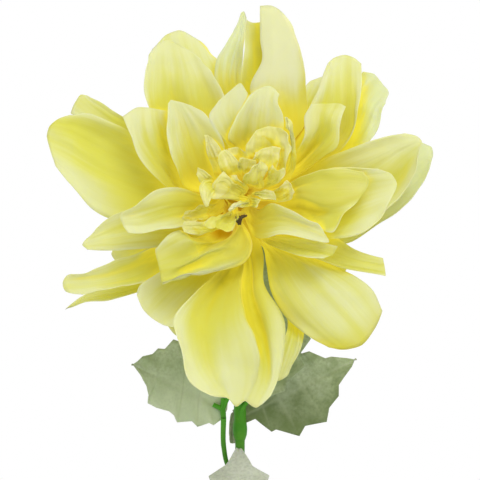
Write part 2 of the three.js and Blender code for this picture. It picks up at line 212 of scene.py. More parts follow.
glaze, wire = finish_of("stoneware_glaze")
place = wire.node("ShaderNodeTexCoord", out="Object")
height = wire.node("ShaderNodeSeparateXYZ", {0: place}, out=2)
clouds = wire.noise(place, 22, 3)
edge_of_glaze = (height + wire.noise(place, 60, 2) * 0.002).between(*GLAZE_STOPS)
specks = wire.noise(place, 900, 0).between(0.745, 0.80)
glazed = wire.tint(specks * 0.55, wire.tint(clouds.between(0.35, 0.7), GLAZE, GLAZE_WARM), SPECK)
grit = wire.noise(place, 1800, 2)
surface(
    wire,
    {
        "Base Color": wire.tint(edge_of_glaze, STONEWARE, glazed),
        "Roughness": 0.85 - edge_of_glaze * (0.62 - clouds * 0.08),
        "Normal": wire.bump(clouds + (1 - edge_of_glaze) * grit, 0.25),
    },
)
vase.data.materials.append(glaze)
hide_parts("vase")
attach(vase, "root")

# Stem. One moulding in bright green plastic: the stem with the swollen collars where its petioles leave it, and
# the pin at its top on which the bloom is threaded. It stands on the vase's floor and leans on the throat's front.
HUB = np.array([0.0, -31.0, 340.0])
LOOKS_UP = math.radians(16)
LOOKS_LEFT = math.radians(5)
STEM_Y = HUB[1] + 22.3
STEM_RADIUS = 1.8
UPPER_STEM_RADIUS = 2.45
PETIOLE_RADIUS = 0.8
PIN_RADIUS = 1.2
PIN_LENGTH = 27.5
STEM_SIDES = 20
STEM_STEP = 1.2
MOULD_MARKS = 0.12
LOW_STEM = (0.236, 0.262)
STEM_GREEN = (0.050, 0.290, 0.006)
STEM_LOW_GREEN = (0.035, 0.160, 0.004)
STEM_PAINTED_HIGHLIGHT = (0.13, 0.38, 0.02)
RIGHT = np.array([math.cos(LOOKS_LEFT), -math.sin(LOOKS_LEFT), 0])
FACE = np.array([RIGHT[1], -RIGHT[0], math.tan(LOOKS_UP)])
FACE /= np.linalg.norm(FACE)
UP = np.cross(FACE, RIGHT)
LEAF_THICKNESS = 0.7
GAP = 0.3


def on_pin(k):
    return HUB + FACE * k


class Leaf:
    """A leaf's place: it lies along one direction and across another, bows along the first and folds on its rib."""

    def __init__(self, base, along, across, bow, fold, length):
        self.base = np.array(base, float)
        self.along = np.array(along, float) / np.linalg.norm(along)
        across = np.array(across, float)
        across -= self.along * across.dot(self.along)
        self.across = across / np.linalg.norm(across)
        self.facing = np.cross(self.along, self.across)
        self.bow, self.fold, self.length = bow, fold, length

    def at(self, a, b, off=0):
        depth = self.bow * (a / self.length) ** 2 + self.fold * abs(b) + off
        return self.base + self.along * a + self.across * b + self.facing * depth

    def prongs(self, side, start, tips=((11, 0), (7.5, 4), (7.5, -4))):
        off = side * (LEAF_THICKNESS / 2 + GAP + PETIOLE_RADIUS + 0.15)
        return [[start, self.at(0.5, b * 0.05, off), self.at(a, b, off)] for a, b in tips]


left_leaf = Leaf((-6.4, STEM_Y - 4.5, 261.5), (-0.896, 0.08, 0.444), (-0.444, 0, -0.896), 2, 0.1, 41)
right_leaf = Leaf((5.2, STEM_Y + 1.5, 260.5), (0.893, 0.1, 0.452), (-0.452, 0, 0.893), 3, 0.12, 46.5)
back_leaf = Leaf((4.2, STEM_Y - 5, 266), (12, -3, 57), (-57, 0, 12), 0, 0.08, 71)
front_leaf = Leaf((-0.4, STEM_Y - 3.6, 245.5), (0, -33, -31), (1, 0, 0), -4, 0.06, 46)
narrow_leaf = Leaf((-3, STEM_Y + 3.7, 248.5), (0.04, 0, 1), (-1, 0.1, 0), 1, 0, 12.5)
rim_y = -(THROAT_RADIUS - GAP - STEM_RADIUS - 0.1)
left_end = left_leaf.at(-1.2, 2.5, 1.6)
right_end = right_leaf.at(-2, 0, -1.6)
back_end = back_leaf.at(0, 0, -1.6)
front_end = front_leaf.at(-2, 0, -1.6)
thin = [PETIOLE_RADIUS * 1.25, PETIOLE_RADIUS, PETIOLE_RADIUS, PETIOLE_RADIUS]
prong = [PETIOLE_RADIUS, PETIOLE_RADIUS * 0.95, PETIOLE_RADIUS * 0.7]
# Each path: how its thickness changes, and the points that it passes through
PATHS = [
    (
        [STEM_RADIUS] * 3 + [STEM_RADIUS * 1.02, STEM_RADIUS * 1.1],
        [(0, 12, VASE_FLOOR + 0.5), (0, 3, 98), (0, rim_y, VASE_HEIGHT - 4), (0, STEM_Y + 0.3, 235), (0, STEM_Y, 256)],
    ),
    (
        [UPPER_STEM_RADIUS] * 9,
        [
            (0, STEM_Y, 252), (0, STEM_Y, 290), (0.4, STEM_Y, 315), (1, STEM_Y - 1, 325), (1.3, STEM_Y - 4.4, 331.6),
            on_pin(-13), on_pin(-10), on_pin(-7), on_pin(-3.3),
        ],
    ),
    ([PIN_RADIUS] * 3, [on_pin(-4.5), on_pin(10), on_pin(PIN_LENGTH)]),
    ([0.9, 1.9, 2.8, 2.95, 2.6, 2.1], [(0, STEM_Y, z) for z in (248.3, 249, 251.5, 254, 256.5, 258.5)]),
    ([0.9, 1.9, 2.6, 2.7, 2.3, 1.6], [(0, STEM_Y + 0.1, z) for z in (233.8, 234.5, 236.8, 239.5, 241.5, 243.5)]),
    ([1, 0.9, 1, 1.1], [(-1, STEM_Y, 237), (-4.4, STEM_Y - 1, 238.5), (-6.5, STEM_Y - 3, 247), left_end]),
    (thin[:3], [(0.6, STEM_Y, 255.5), (2.6, STEM_Y + 2, 257.5), right_end]),
    (thin[:3], [(0.2, STEM_Y - 0.8, 256), (0.6, STEM_Y - 2.6, 261.5), back_end]),
    (thin[:3], [(0, STEM_Y - 0.5, 240), (-0.3, STEM_Y - 2.4, 242), front_end]),
    *[([1.1, 1, 0.9], p) for p in left_leaf.prongs(1, left_end, ((4.8, -0.3), (2.4, -4.4), (0.8, -5.6)))],
    *[(prong, p) for p in right_leaf.prongs(-1, right_end)],
    *[(prong, p) for p in back_leaf.prongs(-1, back_end)],
    *[(prong, p) for p in front_leaf.prongs(-1, front_end)],
]


def tree_of(name, inputs):
    """A new geometry tree with named inputs, and the wires of those inputs."""
    tree = bpy.data.node_groups.new(name, "GeometryNodeTree")
    tree.interface.new_socket("Geometry", in_out="OUTPUT", socket_type="NodeSocketGeometry")
    tree.interface.new_socket("Geometry", in_out="INPUT", socket_type="NodeSocketGeometry")
    for title, kind in inputs.items():
        tree.interface.new_socket(title, in_out="INPUT", socket_type="NodeSocket" + kind)
    entry = tree.nodes.new("NodeGroupInput")
    return tree, {socket.name: Wire(tree, socket) for socket in entry.outputs if socket.name}


def marked(host, name, values):
    """Keeps one number for each point of the host's mesh."""
    host.data.attributes.new(name, "FLOAT", "POINT").data.foreach_set("value", values)


def attribute(wire, name):
    return wire.node("GeometryNodeInputNamedAttribute", {"Name": name}, {"data_type": "FLOAT"})


def close_tree(geometry, material):
    whole = geometry.node("GeometryNodeRealizeInstances", {0: geometry})
    covered = geometry.node("GeometryNodeSetMaterial", {"Geometry": whole, "Material": material})
    geometry.node("NodeGroupOutput", {0: covered})


def grown(host, tree=None, values=(), thickness=0):
    """Gives the host the mesh that a geometry tree and a thickness leave, with no modifier left on it."""
    if tree:
        modifier = host.modifiers.new(tree.name, "NODES")
        modifier.node_group = tree
        for item in tree.interface.items_tree:
            if item.in_out == "INPUT" and item.name in values:
                modifier[item.identifier] = values[item.name]
    if thickness:
        modifier = host.modifiers.new("thickness", "SOLIDIFY")
        modifier.thickness = thickness * MM
        modifier.offset = 0
    graph = bpy.context.evaluated_depsgraph_get()
    mesh = bpy.data.meshes.new_from_object(host.evaluated_get(graph), depsgraph=graph)
    host.modifiers.clear()
    mesh.name = host.name
    host.data = mesh


tubes, given = tree_of("tubes_along_paths", {"Sides": "Int", "Mould marks": "Float", "Material": "Material"})
path = given["Geometry"].node("GeometryNodeMeshToCurve", {0: given["Geometry"]})
circle = path.node("GeometryNodeCurvePrimitiveCircle", {"Resolution": given["Sides"], "Radius": 1.0})
sockets = {"Curve": path, "Profile Curve": circle, "Scale": attribute(path, "thick"), "Fill Caps": True}
skin = path.node("GeometryNodeCurveToMesh", sockets)
mark = (path.noise(path.node("GeometryNodeInputPosition"), 260, 1) - 0.5) * given["Mould marks"]
push = path.node(
    "ShaderNodeVectorMath", {0: path.node("GeometryNodeInputNormal"), "Scale": mark}, {"operation": "SCALE"}
)
skin = path.node("GeometryNodeSetPosition", {"Geometry": skin, "Offset": push})
skin = path.node("GeometryNodeSetShadeSmooth", {0: skin})
close_tree(skin, given["Material"])

points, edges, thick = [], [], []
for radii, through in PATHS:
    length = np.linalg.norm(np.diff(np.array(through), axis=0), axis=1).sum()
    count = int(length / STEM_STEP) + 6
    start = len(points)
    points += list(smooth_curve(through, count))
    edges += [(k, k + 1) for k in range(start, len(points) - 1)]
    sizes = np.interp(np.linspace(0, 1, count), np.linspace(0, 1, len(radii)), radii)
    thick += list(sizes * MM)
stem = plain_mesh("stem_moulding", points, [], edges)
marked(stem, "thick", thick)

stem_plastic, wire = finish_of("stem_green")
place = wire.node("ShaderNodeTexCoord", out="Object")
height = wire.node("ShaderNodeSeparateXYZ", {0: place}, out=2)
mottle = wire.noise(place, 120, 3)
green = wire.tint(height.between(*LOW_STEM), STEM_LOW_GREEN, STEM_GREEN)
# Random patches of a paler green: painted highlights
green = wire.tint(mottle.between(0.3, 0.75) * 0.45, green, STEM_PAINTED_HIGHLIGHT)
furrow = wire.noise(wire.node("ShaderNodeMapping", {"Vector": place, "Scale": (1, 1, 0.05)}), 2600, 2)
surface(
    wire,
    {
        "Base Color": green,
        "Roughness": 0.36 + mottle * 0.2,
        "Specular IOR Level": 0.3,
        "Subsurface Weight": 0.15,
        "Subsurface Radius": (0.4, 1.0, 0.2),
        "Subsurface Scale": 0.001,
        "Normal": wire.bump(furrow + mottle, 0.35),
    },
)
grown(stem, tubes, {"Sides": STEM_SIDES, "Mould marks": MOULD_MARKS * MM, "Material": stem_plastic})
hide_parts("stem")
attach(stem, "root")

# Leaves. Each is die-cut from grey-green printed cloth with coarse teeth along its edge, pressed so that its veins
# stand out, and glued to the prongs of its petiole.
LEAF_CLOTH = 0.4
VEIN_DEPTH = 0.35
MID_VEIN_WIDTH = 0.7
SIDE_VEIN_WIDTH = 0.28
BILLOW = 0.5
LEAF_ROWS = 8
LEAF_HALF_COLUMNS = 10
FOOT = (-0.8, -1, -1, -0.8, 1)
LOW_PART = (0.258, 0.284)


def toothed(length, half, teeth, full=0.72):
    """A coarse-toothed edge: points along and out."""
    edge = []
    for k in range(teeth):
        for t, share in (((k + 0.55) / (teeth + 0.3), 1), ((k + 0.55) / (teeth + 0.3) + 0.32 / teeth, 0.8)):
            edge.append((length * t, half * math.sin(math.pi * t**full) ** full * share))
    return edge


def mirrored(edge):
    return [(a, -b) for a, b in edge]


def sheet_faces(grids):
    """The points and faces of grids. Each is rows of points across a sheet."""
    points, faces = [], []
    for grid in grids:
        rows, columns = grid.shape[:2]
        corners = [len(points) + a * columns + b for a in range(rows - 1) for b in range(columns - 1)]
        faces += [(c, c + 1, c + columns + 1, c + columns) for c in corners]
        points += list(grid[..., :3].reshape(-1, 3))
    return points, faces


def leaf_mesh(name, leaf, edges, foot):
    """The leaf's cloth as a grid from its foot on between its two edges, with its veins sunk in and marked."""
    rows, down, half = [foot], LEAF_ROWS, LEAF_HALF_COLUMNS
    rib = foot[2] - 1
    for (la, lb), (ra, rb) in zip(*edges):
        rib = min(max(rib + 0.7, (la + ra) * 0.45), leaf.length - 0.6)
        rows.append((la, lb, rib, ra, rb))
    rows.append((leaf.length, 0.4, leaf.length + 0.3, leaf.length, -0.4))
    spread = [abs(row[1]) for row in rows]
    tips = [i for i in range(1, len(rows) - 1) if spread[i] >= max(spread[i - 1], spread[i + 1])]
    steps = np.linspace(0, len(rows) - 1, (len(rows) - 1) * down + 1)
    rows = np.array(rows)
    points, vein = [], []
    for step in steps:
        la, lb, rib, ra, rb = [np.interp(step, range(len(rows)), rows[:, k]) for k in range(5)]
        near = min([abs(step - tip) for tip in tips] or [9])
        for j in range(-half, half + 1):
            share = abs(j) / half
            a, b = (la, lb) if j < 0 else (ra, rb)
            here, out = rib + (a - rib) * share, b * share
            side_vein = math.exp(-((near * (1 + 2 * share) / SIDE_VEIN_WIDTH) ** 2)) * (1 - share)
            mid_vein = math.exp(-((out / MID_VEIN_WIDTH) ** 2))
            sunk = max(side_vein, mid_vein)
            billow = math.sin(step * 1.3 + leaf.length) + 0.5 * math.sin(step * 2.9 + j * 0.5)
            billow *= BILLOW * share
            points.append(leaf.at(here, out, billow - VEIN_DEPTH * sunk))
            vein.append(sunk)
    made = plain_mesh(name, *sheet_faces([np.reshape(points, (len(steps), 2 * half + 1, 3))]))
    marked(made, "vein", vein)
    return made


def leaf_finish(name, dull, pale, rib, low=None):
    """Printed leaf cloth: blotches of two greens, paler veins, and the weave and nap. Another green low down, if
    given, is painted shadow on the right leaf and a paler green on the left one.
    """
    material, wire = finish_of(f"leaf_print_{name}")
    place = wire.node("ShaderNodeTexCoord", out="Object")
    blotch = wire.noise(place, 90, 4, 0.6)
    fleck = wire.noise(place, 900, 2)
    vein = wire.node("ShaderNodeAttribute", settings={"attribute_name": "vein"}, out="Fac")
    cloth = wire.tint(blotch.between(0.32, 0.68), dull, pale)
    cloth = wire.tint(fleck.between(0.35, 0.75) * 0.35, cloth, [c * 0.62 for c in dull])
    if low:
        height = wire.node("ShaderNodeSeparateXYZ", {0: place}, out=2)
        lowness = 1 - (height + (blotch - 0.5) * 0.02).between(*LOW_PART)
        cloth = wire.tint(lowness * 0.7, cloth, low)
    cloth = wire.tint(vein * 0.35, cloth, rib)
    weave = {"Vector": place, "Scale": 1500, "Distortion": 0.6}
    threads = wire.node("ShaderNodeTexWave", weave) + wire.node("ShaderNodeTexWave", weave, {"bands_direction": "Z"})
    surface(
        wire,
        {
            "Base Color": cloth,
            "Roughness": 0.88,
            "Specular IOR Level": 0.2,
            "Sheen Weight": 0.25,
            "Sheen Roughness": 0.5,
            "Subsurface Weight": 0.3,
            "Subsurface Radius": (0.5, 0.7, 0.3),
            "Subsurface Scale": 0.001,
            "Normal": wire.bump(threads * 0.5 + fleck + blotch, 0.4),
        },
    )
    return material


# Each leaf: its place, its two edges as points along and out, its foot, and its print. A print is its name, a dull
# and a pale green, the colour of the veins and, for two of them, another colour low down: a paler green on the left
# leaf, and painted shadow on the right one.
LEAVES = {
    "left": (
        left_leaf,
        (
            [
                (1, -5.5), (4, -11.5), (9.5, -16.5), (14, -18), (18, -21.5), (21, -19.5), (26, -21),
                (27, -17), (30.5, -16.5), (32, -11.5), (34.5, -10.5), (35.5, -7.5), (38.5, -5), (39.5, -2.5),
            ],
            [
                (-0.8, 2.5), (-0.5, 4), (1, 7), (3, 7), (6.5, 10.5), (9.5, 9.5), (14.5, 12.5),
                (17, 10.5), (19.5, 10), (24.5, 11), (28.5, 11), (29.5, 8), (32, 5), (35.5, 2.5),
            ],
        ),
        FOOT,
        ("green", (0.300, 0.385, 0.180), (0.500, 0.580, 0.360), (0.470, 0.530, 0.330), (0.66, 0.74, 0.50)),
    ),
    "right": (
        right_leaf,
        (
            [
                (-0.5, -3), (3, -10.5), (5, -10.5), (12, -17), (16, -14.5), (24.5, -17), (28, -12.5),
                (33.5, -10), (35.5, -6), (39.5, -4), (43.5, -2),
            ],
            [
                (3.5, 4.5), (7, 8.5), (11, 10), (15, 13.5), (20, 13), (25.5, 15), (28, 12),
                (31, 11.5), (35.5, 6), (38, 5.5), (43.5, 2),
            ],
        ),
        (-4.3, -2.6, -3.8, -0.7, 5.5),
        # Low down this leaf is painted dark green, as painted shadow
        ("olive_painted_shadow", (0.330, 0.410, 0.200), (0.580, 0.660, 0.420), (0.560, 0.620, 0.400), (0.110, 0.165, 0.035)),
    ),
    "back": (
        back_leaf,
        (mirrored(toothed(60, 19, 5)), toothed(71, 19, 5)),
        FOOT,
        ("back", (0.270, 0.350, 0.150), (0.450, 0.530, 0.310), (0.480, 0.540, 0.340)),
    ),
    "front": (
        front_leaf,
        (mirrored(toothed(46, 17, 5, 1.1)), toothed(46, 17, 5, 1.1)),
        FOOT,
        ("pale", (0.520, 0.550, 0.430), (0.660, 0.690, 0.580), (0.66, 0.68, 0.58)),
    ),
    "narrow": (
        narrow_leaf,
        ([(1, -1.2), (4, -1.6), (8, -1.5), (11, -1)], [(1, 1.2), (4, 1.6), (8, 1.5), (11, 1)]),
        FOOT,
        ("drab", (0.330, 0.380, 0.210), (0.460, 0.500, 0.330), (0.48, 0.50, 0.36)),
    ),
}
for name, (leaf, edges, foot, leaf_print) in LEAVES.items():
    piece = leaf_mesh(f"leaf_{name}_cloth", leaf, edges, foot)
    grown(piece, thickness=LEAF_CLOTH)
    piece.data.materials.append(leaf_finish(*leaf_print))
    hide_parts(f"leaf_{name}")
    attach(piece, "root")

# Petals. Each is a tongue of dyed polyester satin, pressed to its cup while warm. The petals of one round grow from
# a sleeve, and nine rounds are threaded on the pin, the widest at the back and the tight heart in front.
CLOTH = 0.14
GRID = 0.39
RELIEF = 1.4
VIEWED_FROM = 800
EYE_HEIGHT = 329.5
PICTURE_MIDDLE = 240
LONG_PETAL = 35
LONG_GRID = (30, 36)
SHORT_GRID = (24, 24)
HEART_FROM = 6
SOFT_CREASES = 0.25
SHARP_CREASES = 0.85
CURVE_STEPS = 160
TIP_AT = 0.994
NOTCH = 0.008
SLEEVE_HOLE = 1.5
SLEEVE_FOOT = 1.2
SLEEVE_SIDES = 24
SLEEVE_PAINTED_SHADE = 0.9
RAYS = 28
RAY_START = 1.4
RAY_REACH = 22
RAY_LEAN = 1.1
PIT_SHADOW_LEVEL = 2
YELLOW = (0.570, 0.560, 0.100)
THROAT_YELLOW = (0.620, 0.500, 0.015)
STREAK_YELLOW = (0.570, 0.510, 0.035)
CREAM = (0.650, 0.670, 0.370)
GREENISH_CREAM = (0.600, 0.660, 0.400)
HEART_CREAM = (0.680, 0.665, 0.290)
PAINTED_SHADE_GOLD = (0.600, 0.510, 0.024)
PAINTED_SHADE_AMBER = (0.420, 0.250, 0.003)
PAINTED_PIT_SHADOW = (0.03, 0.02, 0.003)
PAINTED_GLOW = (0.27, 0.24, 0.02)
PAINTED_SHADE_GLOW = (0.13, 0.07, 0)
# A petal's tone goes from yellow to cream. Its painted root shade is how far up its clockwise part is painted as
# shaded gold, how much of its width that part takes, and how deep the painted shade is there. The one petal in the
# pit is painted as the pit's dark brown shadow beyond that.
PETAL = {"neck": 5.5, "tone": 0.35, "painted_root_shade": (0, 0, 0), "paints_pit_shadow": False}
# Rounds from the back one forward: where on the pin each sits, and how its petals leave it
ROUNDS = [
    {"high": 1.5, "root": 3.5, "rise": (8, 0, -12), "sleeve": 6},
    {"high": 5, "root": 3.5, "rise": (12, 3, -10), "sleeve": 6},
    {"high": 8.5, "root": 3.5, "rise": (17, 6, -8), "sleeve": 5.8},
    {"high": 12, "root": 3.5, "rise": (22, 8, -6), "sleeve": 5.5},
    {"high": 15.5, "root": 4, "rise": (34, 20, 0), "sleeve": 5.2},
    {"high": 18.5, "root": 3.8, "rise": (42, 28, 4), "sleeve": 4.8},
    {"high": 21.5, "root": 3.6, "rise": (54, 40, 6), "neck": 4, "sleeve": 4.4},
    {"high": 24.2, "root": 3, "rise": (62, 50, 16), "neck": 4, "sleeve": 3.6},
    {"high": 27.2, "root": 2.2, "rise": (76, 66, 30), "neck": 3, "sleeve": 2.8},
]
